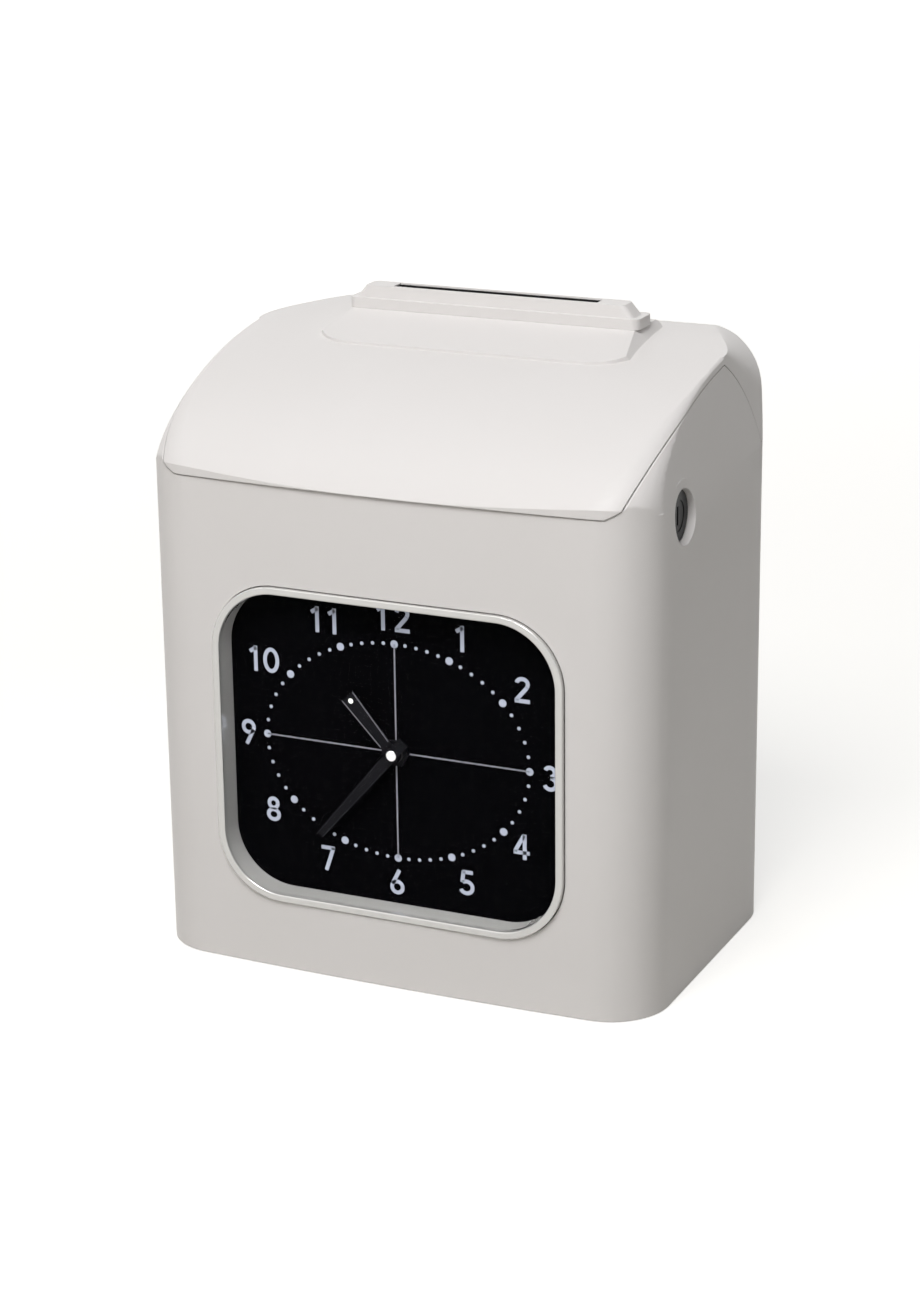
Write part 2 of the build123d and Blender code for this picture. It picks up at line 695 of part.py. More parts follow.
lens_y = bezel_front + 1.0
with BuildPart() as lens:
    extrude(bezel_outline(lens_y, -bezel_rim - 0.1, bezel_radius), amount=-lens_thickness)
lens.part.label = "lens"
export_step(lens.part, "parts/lens.step")

with BuildPart() as dial_plate:
    extrude(bezel_outline(dial_y, dial_overlap - bezel_rim, bezel_radius), amount=-dial_thickness)
    rod((0, dial_y - 1, dial_z), (0, dial_y + dial_thickness + 1, dial_z), bush_radius + 0.1,
        Mode.SUBTRACT)
dial_plate.part.label = "dial_plate"
export_step(dial_plate.part, "parts/dial_plate.step")

movement_y = dial_y + dial_thickness
with BuildPart() as movement:
    with BuildSketch(Plane.XZ.offset(-movement_y)):
        with Locations((0, dial_z)):
            RectangleRounded(movement_size, movement_size, 4)
    extrude(amount=-movement_depth)
    rod((0, movement_y, dial_z), (0, dial_y - 2.0, dial_z), bush_radius)
    rod((0, movement_y + 6, dial_z), (0, dial_y - 3, dial_z), hour_tube_radius + running_gap,
        Mode.SUBTRACT)
movement.part.label = "movement"
export_step(movement.part, "parts/movement.step")

with BuildPart() as dial_nut:
    with BuildSketch(Plane.XZ.offset(-dial_y)):
        with Locations((0, dial_z)):
            RegularPolygon(bush_radius + 2.2, 6)
            Circle(bush_radius, mode=Mode.SUBTRACT)
    extrude(amount=1.6)
dial_nut.part.label = "dial_nut"
export_step(dial_nut.part, "parts/dial_nut.step")

hour_y = dial_y - 2.8
with BuildPart() as hour_hand:
    rod((0, movement_y + 5, dial_z), (0, hour_y - hand_thickness, dial_z), hour_tube_radius)
    with BuildSketch(Plane.XZ.offset(-hour_y)):
        with Locations((0, dial_z)):
                Circle(3.4)
        with Locations(Location((0, dial_z), -hour_hand_angle)):
            hand_blade(hour_hand_length, hour_hand_root, hour_hand_tip, 0)
    extrude(amount=hand_thickness)
    rod((0, movement_y + 6, dial_z), (0, hour_y - 1, dial_z), arbor_radius + running_gap, Mode.SUBTRACT)
hour_hand.part.label = "hour_hand"
export_step(hour_hand.part, "parts/hour_hand.step")

minute_y = hour_y - 1.3
with BuildPart() as minute_hand:
    rod((0, movement_y + 4, dial_z), (0, minute_y - hand_thickness, dial_z), arbor_radius)
    with BuildSketch(Plane.XZ.offset(-minute_y)):
        with Locations((0, dial_z)):
            Circle(2.8)
        with Locations(Location((0, dial_z), -minute_hand_angle)):
            hand_blade(minute_hand_length, minute_hand_root, minute_hand_tip, minute_hand_tail)
    extrude(amount=hand_thickness)
minute_hand.part.label = "minute_hand"
export_step(minute_hand.part, "parts/minute_hand.step")

with BuildPart() as hand_cap:
    rod((0, minute_y - hand_thickness, dial_z), (0, minute_y - hand_thickness - 0.8, dial_z), 2.2)
    chamfer(hand_cap.edges().sort_by(Axis.Y)[0], 0.4)
hand_cap.part.label = "hand_cap"
export_step(hand_cap.part, "parts/hand_cap.step")

# ---------------------------------------------------------------- chassis
with BuildPart() as chassis:
    block((-cheek_x - sheet, cheek_x + sheet), (cheek_front, back_front), (base_top, base_top + sheet))
    for side in (-1, 1):
        inner, outer = sorted((side * cheek_x, side * (cheek_x + sheet)))
        block((inner, outer), (cheek_front, back_front), (base_top, cheek_step))
        block((inner, outer), (cheek_front, cheek_rear), (cheek_step, cheek_top))
        block((inner, outer), (arm_front, cheek_front), (arm_low, deck_height))
        low, high = sorted((side * cheek_x, side * (cheek_x + flange_width)))
        block((low, high), (back_front - sheet, back_front), (base_top, cheek_step))
        # cut-outs that lighten the cheeks and let the wiring through
        inner, outer = sorted((side * (cheek_x - 1), side * (cheek_x + 2)))
        block((inner, outer), (cheek_front + 12, back_front - 22), (base_top + 14, guide_low - 8),
              Mode.SUBTRACT)
        block((inner, outer), (cheek_front + 8, cheek_front + 28), (guide_low + 34, feed_z - 20),
              Mode.SUBTRACT)
    reach = cheek_x + 20
    rod((-reach, feed_y, feed_z), (reach, feed_y, feed_z), feed_shaft_radius + running_gap, Mode.SUBTRACT)
    rod((-reach, pinch_y, feed_z), (reach, pinch_y, feed_z), pinch_shaft_radius + running_gap,
        Mode.SUBTRACT)
    rod((-reach, rod_y, rod_z), (reach, rod_y, rod_z), rod_radius, Mode.SUBTRACT)
    rod((-reach, rail_y, rail_z), (reach, rail_y, rail_z), rail_radius, Mode.SUBTRACT)
    rod((cheek_x - 1, pinion_y, pinion_z), (reach, pinion_y, pinion_z), 4, Mode.SUBTRACT)
chassis.part.label = "chassis"
export_step(chassis.part, "parts/chassis.step")

# ---------------------------------------------------------------- control deck, buttons and display
button_at = [(button_first_x + n * button_pitch, button_y) for n in range(len(button_names))]
deck_top = deck_height + sheet
board_top = deck_height - button_board_drop
switch_top = deck_height - button_flange - button_travel - 0.3
standoffs = [(side * (cheek_x - 6), y) for side in (-1, 1) for y in (arm_front + 8, deck_rear - 7)]

with BuildPart() as control_deck:
    block((-cheek_x - sheet, cheek_x + sheet), (arm_front, deck_rear), (deck_height, deck_top))
    block((display_x - display_width / 2, display_x + display_width / 2),
          (button_y - display_depth / 2, button_y + display_depth / 2), (deck_height - 1, deck_top + 1),
          Mode.SUBTRACT)
    for x, y in button_at:
        rod((x, y, deck_height - 1), (x, y, deck_top + 1), button_radius + running_gap, Mode.SUBTRACT)
control_deck.part.label = "control_deck"
export_step(control_deck.part, "parts/control_deck.step")

with BuildPart() as display:
    block((display_x - display_width / 2 + 0.1, display_x + display_width / 2 - 0.1),
          (button_y - display_depth / 2 + 0.1, button_y + display_depth / 2 - 0.1),
          (board_top, deck_top + 0.4))
display.part.label = "display"
export_step(display.part, "parts/display.step")

with BuildPart() as button_board:
    block((-cheek_x + 3, cheek_x - 3), (arm_front + 4, deck_rear - 3),
          (board_top - board_thickness, board_top))
    with Locations(*[(x, y, board_top) for x, y in standoffs]):
        Cylinder(2.5, button_board_drop, align=(Align.CENTER, Align.CENTER, Align.MIN))
    for x, y in button_at:
        block((x - 3, x + 3), (y - 3, y + 3), (board_top, switch_top))
button_board.part.label = "button_board"
export_step(button_board.part, "parts/button_board.step")

for name, (x, y) in zip(button_names, button_at):
    with BuildPart() as button:
        rod((x, y, deck_height - button_flange), (x, y, deck_top + button_stand), button_radius)
        chamfer(button.edges().group_by(Axis.Z)[-1], 0.4)
        rod((x, y, deck_height - button_flange), (x, y, deck_height - running_gap), button_radius + 1)
    button.part.label = name
    export_step(button.part, f"parts/{name}.step")

# ---------------------------------------------------------------- card guides
rail_x = card_width / 2 + 1.1
ears = ((guide_low + 10, guide_low + 24), (guide_high - 14, guide_high - 6))

with BuildPart() as guide_front:
    block((-guide_width / 2, guide_width / 2), (guide_front_y - guide_thickness, guide_front_y),
          (guide_low, guide_high))
    for low, high in ears:
        block((-cheek_x, cheek_x), (guide_front_y - guide_thickness, guide_front_y), (low, high))
    block((-rail_x, rail_x), (guide_front_y - 3, guide_front_y + 1), (window_low, window_high),
          Mode.SUBTRACT)
    for side in (-1, 1):
        half = roller_width / 2 + 1
        block((side * roller_x - half, side * roller_x + half), (guide_front_y - 3, guide_front_y + 1),
              (feed_z - roller_radius - 1, feed_z + roller_radius + 1), Mode.SUBTRACT)
guide_front.part.label = "guide_front"
export_step(guide_front.part, "parts/guide_front.step")

with BuildPart() as guide_rear:
    block((-guide_width / 2, guide_width / 2), (guide_rear_y, guide_rear_y + guide_thickness),
          (guide_low, guide_high))
    for low, high in ears:
        block((-cheek_x, cheek_x), (guide_rear_y, guide_rear_y + guide_thickness), (low, high))
    for side in (-1, 1):
        inner, outer = sorted((side * rail_x, side * (rail_x + rail_width)))
        block((inner, outer), (guide_front_y, guide_rear_y), (guide_low, guide_high))
    block((-rail_x, rail_x), (guide_rear_y - 1, guide_rear_y + 3), (window_low, window_high),
          Mode.SUBTRACT)
    for side in (-1, 1):
        half = roller_width / 2 + 1
        block((side * roller_x - half, side * roller_x + half), (guide_rear_y - 1, guide_rear_y + 3),
              (feed_z - roller_radius - 1, feed_z + roller_radius + 1), Mode.SUBTRACT)
guide_rear.part.label = "guide_rear"
export_step(guide_rear.part, "parts/guide_rear.step")

with BuildPart() as card_stop:
    block((-guide_width / 2, guide_width / 2),
          (guide_front_y - guide_thickness, guide_rear_y + guide_thickness),
          (guide_low - stop_height, guide_low))
card_stop.part.label = "card_stop"
export_step(card_stop.part, "parts/card_stop.step")

with BuildPart() as platen:
    block((-rail_x + 0.2, rail_x - 0.2), (guide_rear_y + 0.2, guide_rear_y + 4.5),
          (window_low + 0.2, window_high - 0.2))
    block((-rail_x - 3, rail_x + 3), (guide_rear_y + guide_thickness, guide_rear_y + 4.5),
          (window_low - 2, window_high + 2))
platen.part.label = "platen"
export_step(platen.part, "parts/platen.step")

# ---------------------------------------------------------------- card feed
with BuildPart() as feed_shaft:
    rod((-cheek_x - 3, feed_y, feed_z), (gear_x + gear_width + 1, feed_y, feed_z), feed_shaft_radius)
feed_shaft.part.label = "feed_shaft"
export_step(feed_shaft.part, "parts/feed_shaft.step")

with BuildPart() as pinch_shaft:
    rod((-cheek_x - 3, pinch_y, feed_z), (cheek_x + 3, pinch_y, feed_z), pinch_shaft_radius)
pinch_shaft.part.label = "pinch_shaft"
export_step(pinch_shaft.part, "parts/pinch_shaft.step")

with BuildPart() as feed_rollers:
    for side in (-1, 1):
        low, high = side * roller_x - roller_width / 2, side * roller_x + roller_width / 2
        rod((low, feed_y, feed_z), (high, feed_y, feed_z), roller_radius)
    rod((-roller_x - roller_width, feed_y, feed_z), (roller_x + roller_width, feed_y, feed_z),
        feed_shaft_radius, Mode.SUBTRACT)
feed_rollers.part.label = "feed_rollers"
export_step(feed_rollers.part, "parts/feed_rollers.step")

with BuildPart() as pinch_rollers:
    for side in (-1, 1):
        low, high = side * roller_x - roller_width / 2, side * roller_x + roller_width / 2
        rod((low, pinch_y, feed_z), (high, pinch_y, feed_z), roller_radius)
    rod((-roller_x - roller_width, pinch_y, feed_z), (roller_x + roller_width, pinch_y, feed_z),
        pinch_shaft_radius, Mode.SUBTRACT)
pinch_rollers.part.label = "pinch_rollers"
export_step(pinch_rollers.part, "parts/pinch_rollers.step")

with BuildPart() as feed_gear:
    gear_wheel(gear_x, feed_y, feed_z, feed_teeth, feed_shaft_radius)
feed_gear.part.label = "feed_gear"
export_step(feed_gear.part, "parts/feed_gear.step")

with BuildPart() as motor_pinion:
    gear_wheel(gear_x, pinion_y, pinion_z, pinion_teeth, 1.0, 90 + pinion_lean + 180 / pinion_teeth)
    rod((cheek_x - 6, pinion_y, pinion_z), (gear_x + gear_width, pinion_y, pinion_z), motor_shaft_radius)
motor_pinion.part.label = "motor_pinion"
export_step(motor_pinion.part, "parts/motor_pinion.step")

with BuildPart() as feed_motor:
    rod((cheek_x - feed_motor_length, pinion_y, pinion_z), (cheek_x, pinion_y, pinion_z), motor_radius)
    rod((cheek_x - 7, pinion_y, pinion_z), (cheek_x + 1, pinion_y, pinion_z),
        motor_shaft_radius + running_gap, Mode.SUBTRACT)
feed_motor.part.label = "feed_motor"
export_step(feed_motor.part, "parts/feed_motor.step")

# ---------------------------------------------------------------- print carriage on its rod and rail
with BuildPart() as guide_rod:
    rod((-cheek_x - 3, rod_y, rod_z), (cheek_x + 3, rod_y, rod_z), rod_radius)
guide_rod.part.label = "guide_rod"
export_step(guide_rod.part, "parts/guide_rod.step")

with BuildPart() as guide_rail:
    rod((-cheek_x - 3, rail_y, rail_z), (cheek_x + 3, rail_y, rail_z), rail_radius)
guide_rail.part.label = "guide_rail"
export_step(guide_rail.part, "parts/guide_rail.step")

belt_top = pulley_z + pulley_radius
belt_rear = belt_front + belt_width
fork_step = 3.0
with BuildPart() as carriage:
    half = carriage_width / 2
    block((-half, half), (carriage_front, carriage_rear), (carriage_low, carriage_high))
    block((-half, half), (belt_front - 0.5, carriage_front),
          (belt_top - belt_gap - fork_step, belt_top + belt_thickness + belt_gap + fork_step))
    block((-half, half), (belt_front - 1, belt_rear + belt_gap),
          (belt_top - belt_gap, belt_top + belt_thickness + belt_gap), Mode.SUBTRACT)
    rod((-half - 1, rod_y, rod_z), (half + 1, rod_y, rod_z), rod_radius + running_gap, Mode.SUBTRACT)
    rod((-half - 1, rail_y, rail_z), (half + 1, rail_y, rail_z), rail_radius + running_gap,
        Mode.SUBTRACT)
carriage.part.label = "carriage"
export_step(carriage.part, "parts/carriage.step")

with BuildPart() as print_head:
    block((-head_width / 2, head_width / 2), (carriage_rear, nose_reach - 2),
          (window_low - 6, carriage_high))
    block((-head_width / 2 + 2, head_width / 2 - 2), (nose_reach - 2, nose_reach),
          (window_low + 1, window_high - 2))
print_head.part.label = "print_head"
export_step(print_head.part, "parts/print_head.step")

with BuildPart() as belt_plate:
    block((-cheek_x, cheek_x), (belt_plate_y, belt_plate_y + sheet), (pulley_z - 15, pulley_z + 15))
    rod((pulley_x, belt_plate_y - 1, pulley_z), (pulley_x, belt_rear, pulley_z),
        motor_shaft_radius + running_gap, Mode.SUBTRACT)
    rod((-pulley_x, belt_plate_y, pulley_z), (-pulley_x, belt_rear + 1, pulley_z), motor_shaft_radius)
belt_plate.part.label = "belt_plate"
export_step(belt_plate.part, "parts/belt_plate.step")

with BuildPart() as drive_belt:
    for outline_radius, way in ((pulley_radius + belt_thickness, Mode.ADD), (pulley_radius, Mode.SUBTRACT)):
        with BuildSketch(Plane.XZ.offset(-belt_front)) as loop:
            with Locations((0, pulley_z)):
                SlotOverall(2 * (pulley_x + outline_radius), 2 * outline_radius)
        extrude(loop.sketch, amount=-belt_width, mode=way)
drive_belt.part.label = "drive_belt"
export_step(drive_belt.part, "parts/drive_belt.step")

with BuildPart() as drive_pulley:
    rod((pulley_x, belt_front, pulley_z), (pulley_x, belt_rear, pulley_z), pulley_radius - running_gap)
    rod((pulley_x, belt_plate_y - 5, pulley_z), (pulley_x, belt_front, pulley_z), motor_shaft_radius)
drive_pulley.part.label = "drive_pulley"
export_step(drive_pulley.part, "parts/drive_pulley.step")

with BuildPart() as idler_pulley:
    rod((-pulley_x, belt_front, pulley_z), (-pulley_x, belt_rear, pulley_z), pulley_radius - running_gap)
    rod((-pulley_x, belt_front - 1, pulley_z), (-pulley_x, belt_rear + 1, pulley_z),
        motor_shaft_radius + running_gap, Mode.SUBTRACT)
idler_pulley.part.label = "idler_pulley"
export_step(idler_pulley.part, "parts/idler_pulley.step")

with BuildPart() as carriage_motor:
    rod((pulley_x, belt_plate_y - carriage_motor_length, pulley_z), (pulley_x, belt_plate_y, pulley_z),
        motor_radius)
    rod((pulley_x, belt_plate_y - 6, pulley_z), (pulley_x, belt_plate_y + 1, pulley_z),
        motor_shaft_radius + running_gap, Mode.SUBTRACT)
carriage_motor.part.label = "carriage_motor"
export_step(carriage_motor.part, "parts/carriage_motor.step")

# ---------------------------------------------------------------- ribbon cartridge
ribbon_rear = nose_reach + 0.4 + ribbon_thickness
with BuildPart() as ribbon_cartridge:
    half = cartridge_width / 2
    block((-half, half), (cartridge_front, cartridge_rear), (cartridge_low, cartridge_high))
    block((-cheek_x, cheek_x), (cartridge_front + 6, cartridge_front + 18),
          (cartridge_low, cartridge_low + 2.5))
    for side in (-1, 1):
        inner, outer = sorted((side * (half - 6), side * half))
        block((inner, outer), (cartridge_rear - 6, ribbon_rear), (window_low - 3, cartridge_low))
        block((inner, outer), (cartridge_rear, ribbon_rear), (cartridge_low, cartridge_low + 2))
    rod((knob_x, knob_y, cartridge_high - 5), (knob_x, knob_y, cartridge_high + 1), 2 + running_gap,
        Mode.SUBTRACT)
ribbon_cartridge.part.label = "ribbon_cartridge"
export_step(ribbon_cartridge.part, "parts/ribbon_cartridge.step")

with BuildPart() as ribbon:
    block((-cartridge_width / 2 + 6, cartridge_width / 2 - 6), (ribbon_rear - ribbon_thickness, ribbon_rear),
          (window_low - 1, window_high + 1))
ribbon.part.label = "ribbon"
export_step(ribbon.part, "parts/ribbon.step")

with BuildPart() as ribbon_knob:
    rod((knob_x, knob_y, cartridge_high + 0.2), (knob_x, knob_y, cartridge_high + knob_height), knob_radius)
    with BuildSketch(Plane.XY.offset(cartridge_high)) as grooves:
        with Locations((knob_x, knob_y)):
            with PolarLocations(knob_radius + 0.4, 12):
                Circle(1.0)
    extrude(grooves.sketch, amount=knob_height + 1, mode=Mode.SUBTRACT)
    rod((knob_x, knob_y, cartridge_high - 4.5), (knob_x, knob_y, cartridge_high + 0.3), 2)
ribbon_knob.part.label = "ribbon_knob"
export_step(ribbon_knob.part, "parts/ribbon_knob.step")

# ---------------------------------------------------------------- electronics
board_x = -cheek_x - sheet - board_gap
with BuildPart() as main_board:
    block((board_x - board_thickness, board_x), (board_front, board_rear), (board_low, board_high))
    for y in (board_front + 6, board_rear - 6):
        for z in (board_low + 6, board_high - 6):
            rod((board_x, y, z), (board_x + board_gap, y, z), 2.5)
    solder = board_x - board_thickness
    sink_z = board_low + 8
    block((solder - heat_sink_depth, solder), (board_front + 8, board_front + 30),
          (sink_z, sink_z + heat_sink_height))
    chip_y = (board_front + board_rear) / 2
    chip_z = (board_low + board_high) / 2
    block((solder - 3, solder), (chip_y - chip_length / 2, chip_y + chip_length / 2),
          (chip_z, chip_z + chip_height))
    for y in (board_rear - 19, board_rear - 7):
        rod((solder - capacitor_length, y, board_low + 24), (solder, y, board_low + 24), capacitor_radius)
main_board.part.label = "main_board"
export_step(main_board.part, "parts/main_board.step")

with BuildPart() as transformer:
    x = (transformer_low_x, transformer_low_x + transformer_width)
    y = (transformer_front, transformer_front + transformer_length)
    block(x, y, (base_top, base_top + 2))
    block(x, (y[0] + 6, y[1] - 6), (base_top, base_top + transformer_height))
    block((x[0] + 1, x[1] - 1), (y[0] + 2, y[1] - 2), (base_top + 8, base_top + transformer_height - 8))
transformer.part.label = "transformer"
export_step(transformer.part, "parts/transformer.step")

with BuildPart() as battery:
    block((-battery_width / 2, battery_width / 2), (battery_front, battery_front + battery_depth),
          (base_top, base_top + battery_height))
battery.part.label = "battery"
export_step(battery.part, "parts/battery.step")

pins_at = ((inlet_x - 7, inlet_z + 2), (inlet_x, inlet_z - 2), (inlet_x + 7, inlet_z + 2))
with BuildPart() as inlet:
    block((inlet_x - inlet_width / 2, inlet_x + inlet_width / 2), (rear - inlet_depth, rear),
          (inlet_z - inlet_height / 2, inlet_z + inlet_height / 2))
    block((inlet_x - 12, inlet_x + 12), (rear - inlet_depth + 3, rear + 1), (inlet_z - 8, inlet_z + 8),
          Mode.SUBTRACT)
    for x, z in pins_at:
        block((x - 1, x + 1), (rear - inlet_depth - 1, rear), (z - 2, z + 2), Mode.SUBTRACT)
inlet.part.label = "inlet"
export_step(inlet.part, "parts/inlet.step")

with BuildPart() as inlet_pins:
    for x, z in pins_at:
        block((x - 1, x + 1), (rear - inlet_depth - 6, rear - 5), (z - 2, z + 2))
inlet_pins.part.label = "inlet_pins"
export_step(inlet_pins.part, "parts/inlet_pins.step")
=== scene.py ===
"""A punch time clock on a plain pale floor: moulded off-white casing, black dial under a lens,
lock, card slot, and the card feed and print carriage inside.

All lengths are metres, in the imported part's own frame."""
import json
import math

import bmesh
import bpy
import numpy as np
from mathutils import Matrix, Vector

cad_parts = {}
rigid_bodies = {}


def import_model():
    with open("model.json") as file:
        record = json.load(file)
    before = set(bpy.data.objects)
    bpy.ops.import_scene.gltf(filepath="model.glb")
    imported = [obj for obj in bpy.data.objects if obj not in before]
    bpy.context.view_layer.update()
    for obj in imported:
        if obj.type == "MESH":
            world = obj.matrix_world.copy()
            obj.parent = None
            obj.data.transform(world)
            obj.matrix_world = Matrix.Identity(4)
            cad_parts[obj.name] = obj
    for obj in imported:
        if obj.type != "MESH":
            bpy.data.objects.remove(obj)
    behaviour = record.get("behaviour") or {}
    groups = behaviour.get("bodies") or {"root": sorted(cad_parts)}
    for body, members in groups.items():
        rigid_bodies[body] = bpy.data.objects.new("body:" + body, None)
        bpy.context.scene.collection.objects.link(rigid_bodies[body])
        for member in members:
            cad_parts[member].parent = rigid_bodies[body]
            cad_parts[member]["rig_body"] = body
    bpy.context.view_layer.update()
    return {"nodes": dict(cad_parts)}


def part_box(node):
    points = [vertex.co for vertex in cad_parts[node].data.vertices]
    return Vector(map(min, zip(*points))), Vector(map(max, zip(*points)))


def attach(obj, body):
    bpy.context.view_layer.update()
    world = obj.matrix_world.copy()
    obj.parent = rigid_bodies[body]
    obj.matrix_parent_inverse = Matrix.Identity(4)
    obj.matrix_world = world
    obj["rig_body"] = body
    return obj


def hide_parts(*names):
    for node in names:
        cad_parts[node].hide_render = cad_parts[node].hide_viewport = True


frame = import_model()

scene = bpy.context.scene

# ---------------------------------------------------------------- camera
# A long lens a little above the clock, which looks down on the front from the dial's right.
# Its place is in metres, and its yaw, pitch and roll are in degrees.
camera_place = Vector((0.4884, -1.0558, 0.4950))
yaw, pitch, roll = math.radians(24.88), math.radians(18.15), math.radians(-0.71)
focal_length, sensor_width = 85.7, 36.0
ahead = Vector((-math.sin(yaw) * math.cos(pitch), math.cos(yaw) * math.cos(pitch),
                -math.sin(pitch)))
level = Vector((math.cos(yaw), math.sin(yaw), 0))
upward = level.cross(ahead)
right = level * math.cos(roll) + upward * math.sin(roll)
up = upward * math.cos(roll) - level * math.sin(roll)
camera_data = bpy.data.cameras.new("camera")
camera_data.lens = focal_length
camera_data.sensor_width = sensor_width
camera_data.clip_end = 20.0
camera = bpy.data.objects.new("camera", camera_data)
camera_turn = Matrix((right, up, -ahead)).transposed().to_4x4()
camera.matrix_world = Matrix.Translation(camera_place) @ camera_turn
scene.collection.objects.link(camera)
scene.camera = camera
scene.view_settings.view_transform = "Standard"


# ---------------------------------------------------------------- floor and backdrop
# A matt white sheet that lies flat, bends up behind the clock and hangs as a wall.
# The eye sees it as plain white, with the clock's soft shadow on it.
def linear(hex_colour):
    """An sRGB hex colour as linear red, green, blue and alpha."""
    parts = np.array([int(hex_colour[i:i + 2], 16) for i in (1, 3, 5)]) / 255
    low, high = parts / 12.92, ((parts + 0.055) / 1.055) ** 2.4
    return (*np.where(parts <= 0.04045, low, high), 1.0)


def add_node(material, kind, settings=None, **links):
    """Adds a node, sets its properties or input values, and links its inputs.

    An input is named with underscores for spaces, or n and its number."""
    tree = material.node_tree
    node = tree.nodes.new(kind)
    for key, value in (settings or {}).items():
        if isinstance(key, str) and hasattr(node, key):
            setattr(node, key, value)
        else:
            node.inputs[key].default_value = value
    for key, source in links.items():
        numbered = key[0] == "n" and key[1:].isdigit()
        tree.links.new(source, node.inputs[int(key[1:]) if numbered else key.replace("_", " ")])
    return node


def new_material(name):
    """An empty node material and its output node."""
    material = bpy.data.materials.new(name)
    material.use_nodes = True
    material.node_tree.nodes.clear()
    return material, material.node_tree.nodes.new("ShaderNodeOutputMaterial")


def seen_directly(material):
    """A socket that is 1 where the surface is looked at, also in a mirror or through glass, and 0
    where it only lights other things."""
    path = add_node(material, "ShaderNodeLightPath")
    looked = add_node(material, "ShaderNodeMath", {"operation": "MAXIMUM"},
                      n0=path.outputs["Is Camera Ray"], n1=path.outputs["Is Glossy Ray"])
    seen = add_node(material, "ShaderNodeMath", {"operation": "MAXIMUM"},
                    n0=looked.outputs[0], n1=path.outputs["Is Transmission Ray"])
    return seen.outputs[0]


def mesh_object(name, points, faces, smooth=True):
    """A mesh object at the origin from its points and its faces."""
    mesh = bpy.data.meshes.new(name)
    mesh.from_pydata(np.asarray(points).tolist(), [], [[int(n) for n in face] for face in faces])
    mesh.polygons.foreach_set("use_smooth", np.full(len(mesh.polygons), smooth))
    mesh.update()
    obj = bpy.data.objects.new(name, mesh)
    scene.collection.objects.link(obj)
    return obj


# The sheet's side view is a straight line, most of a quarter circle and an upright line, and the
# sheet is that line drawn out from the left edge to the right edge.
floor_half, wall_place, wall_foot, wall_top, bend_radius = 4.0, 2.2, 1.2, 3.0, 1.0
flat_rows, bend_rows, wall_rows = 20, 16, 6
bend = np.linspace(0.1, math.pi / 2, bend_rows)
sweep_y = np.concatenate([np.linspace(-floor_half, wall_place - bend_radius, flat_rows),
                          wall_place - bend_radius + bend_radius * np.sin(bend),
                          np.full(wall_rows, wall_place)])
sweep_z = np.concatenate([np.zeros(flat_rows), bend_radius * (1 - np.cos(bend)),
                          np.linspace(wall_foot, wall_top, wall_rows)])
edges = [np.stack([np.full(len(sweep_y), x), sweep_y, sweep_z], 1)
         for x in (-floor_half, floor_half)]
index = np.arange(len(sweep_y) - 1)[:, None] * 2
floor = mesh_object("floor", np.stack(edges, 1).reshape(-1, 3),
                    np.hstack([index, index + 1, index + 3, index + 2]))

# White sweep paint, dead matt: it takes the shadow and throws a soft light back up. What is seen of
# it is lifted to white, less close to the clock (0.4 m) than far away (2.4 m), so the shadow stays.
floor_paint, output = new_material("white_sweep_paint")
diffuse = add_node(floor_paint, "ShaderNodeBsdfDiffuse", {"Color": linear("#c6c4bf")})
place = add_node(floor_paint, "ShaderNodeTexCoord")
away = add_node(floor_paint, "ShaderNodeVectorMath", {"operation": "LENGTH"},
                n0=place.outputs["Object"])
lift = add_node(floor_paint, "ShaderNodeMapRange",
                {"From Min": 0.4, "From Max": 2.4, "To Min": 0.62, "To Max": 1.0},
                Value=away.outputs["Value"])
glow = add_node(floor_paint, "ShaderNodeEmission", {"Color": (1, 1, 1, 1)},
                Strength=lift.outputs[0])
lifted = add_node(floor_paint, "ShaderNodeAddShader", n0=diffuse.outputs[0], n1=glow.outputs[0])
mixed = add_node(floor_paint, "ShaderNodeMixShader", Fac=seen_directly(floor_paint),
                 n1=diffuse.outputs[0], n2=lifted.outputs[0])
floor_paint.node_tree.links.new(mixed.outputs[0], output.inputs["Surface"])
floor.data.materials.append(floor_paint)

# The room's air: white where it is seen, and a weak grey light everywhere else.
world = bpy.data.worlds.new("studio")
world.use_nodes = True
world.node_tree.nodes.clear()
surround = add_node(world, "ShaderNodeOutputWorld")
white = add_node(world, "ShaderNodeMapRange", {"To Min": 0.1, "To Max": 1.0},
                 Value=seen_directly(world))
air = add_node(world, "ShaderNodeBackground", {"Color": (1, 1, 1, 1)}, Strength=white.outputs[0])
world.node_tree.links.new(air.outputs[0], surround.inputs["Surface"])
scene.world = world


# ---------------------------------------------------------------- lamps
# Four soft square lamps: a small one close over the front, a wide one overhead, and weaker ones on
# the left and behind. The one behind lights the rear edges, and no shiny part mirrors it.
def softbox(name, place, size, watts, tint):
    """A square area lamp that looks at the clock's middle."""
    lamp = bpy.data.lights.new(name, "AREA")
    lamp.size, lamp.energy, lamp.color = size, watts, linear(tint)[:3]
    obj = bpy.data.objects.new(name, lamp)
    aim = (clock_middle - Vector(place)).to_track_quat("-Z", "Y")
    obj.matrix_world = Matrix.Translation(place) @ aim.to_matrix().to_4x4()
    scene.collection.objects.link(obj)
    return obj


clock_middle = Vector((0, 0, 0.13))
softbox("high_front_lamp", (0.15, -0.95, 1.35), size=0.7, watts=17.0, tint="#ffffff")
softbox("top_lamp", (0.1, -0.4, 2.2), size=1.6, watts=6.8, tint="#ffffff")
softbox("left_lamp", (-1.1, -1.9, 1.5), size=1.4, watts=8, tint="#fffaf6")
back_lamp = softbox("back_lamp", (-1.5, 1.4, 0.5), size=1.2, watts=11, tint="#ffffff")
back_lamp.visible_glossy = False

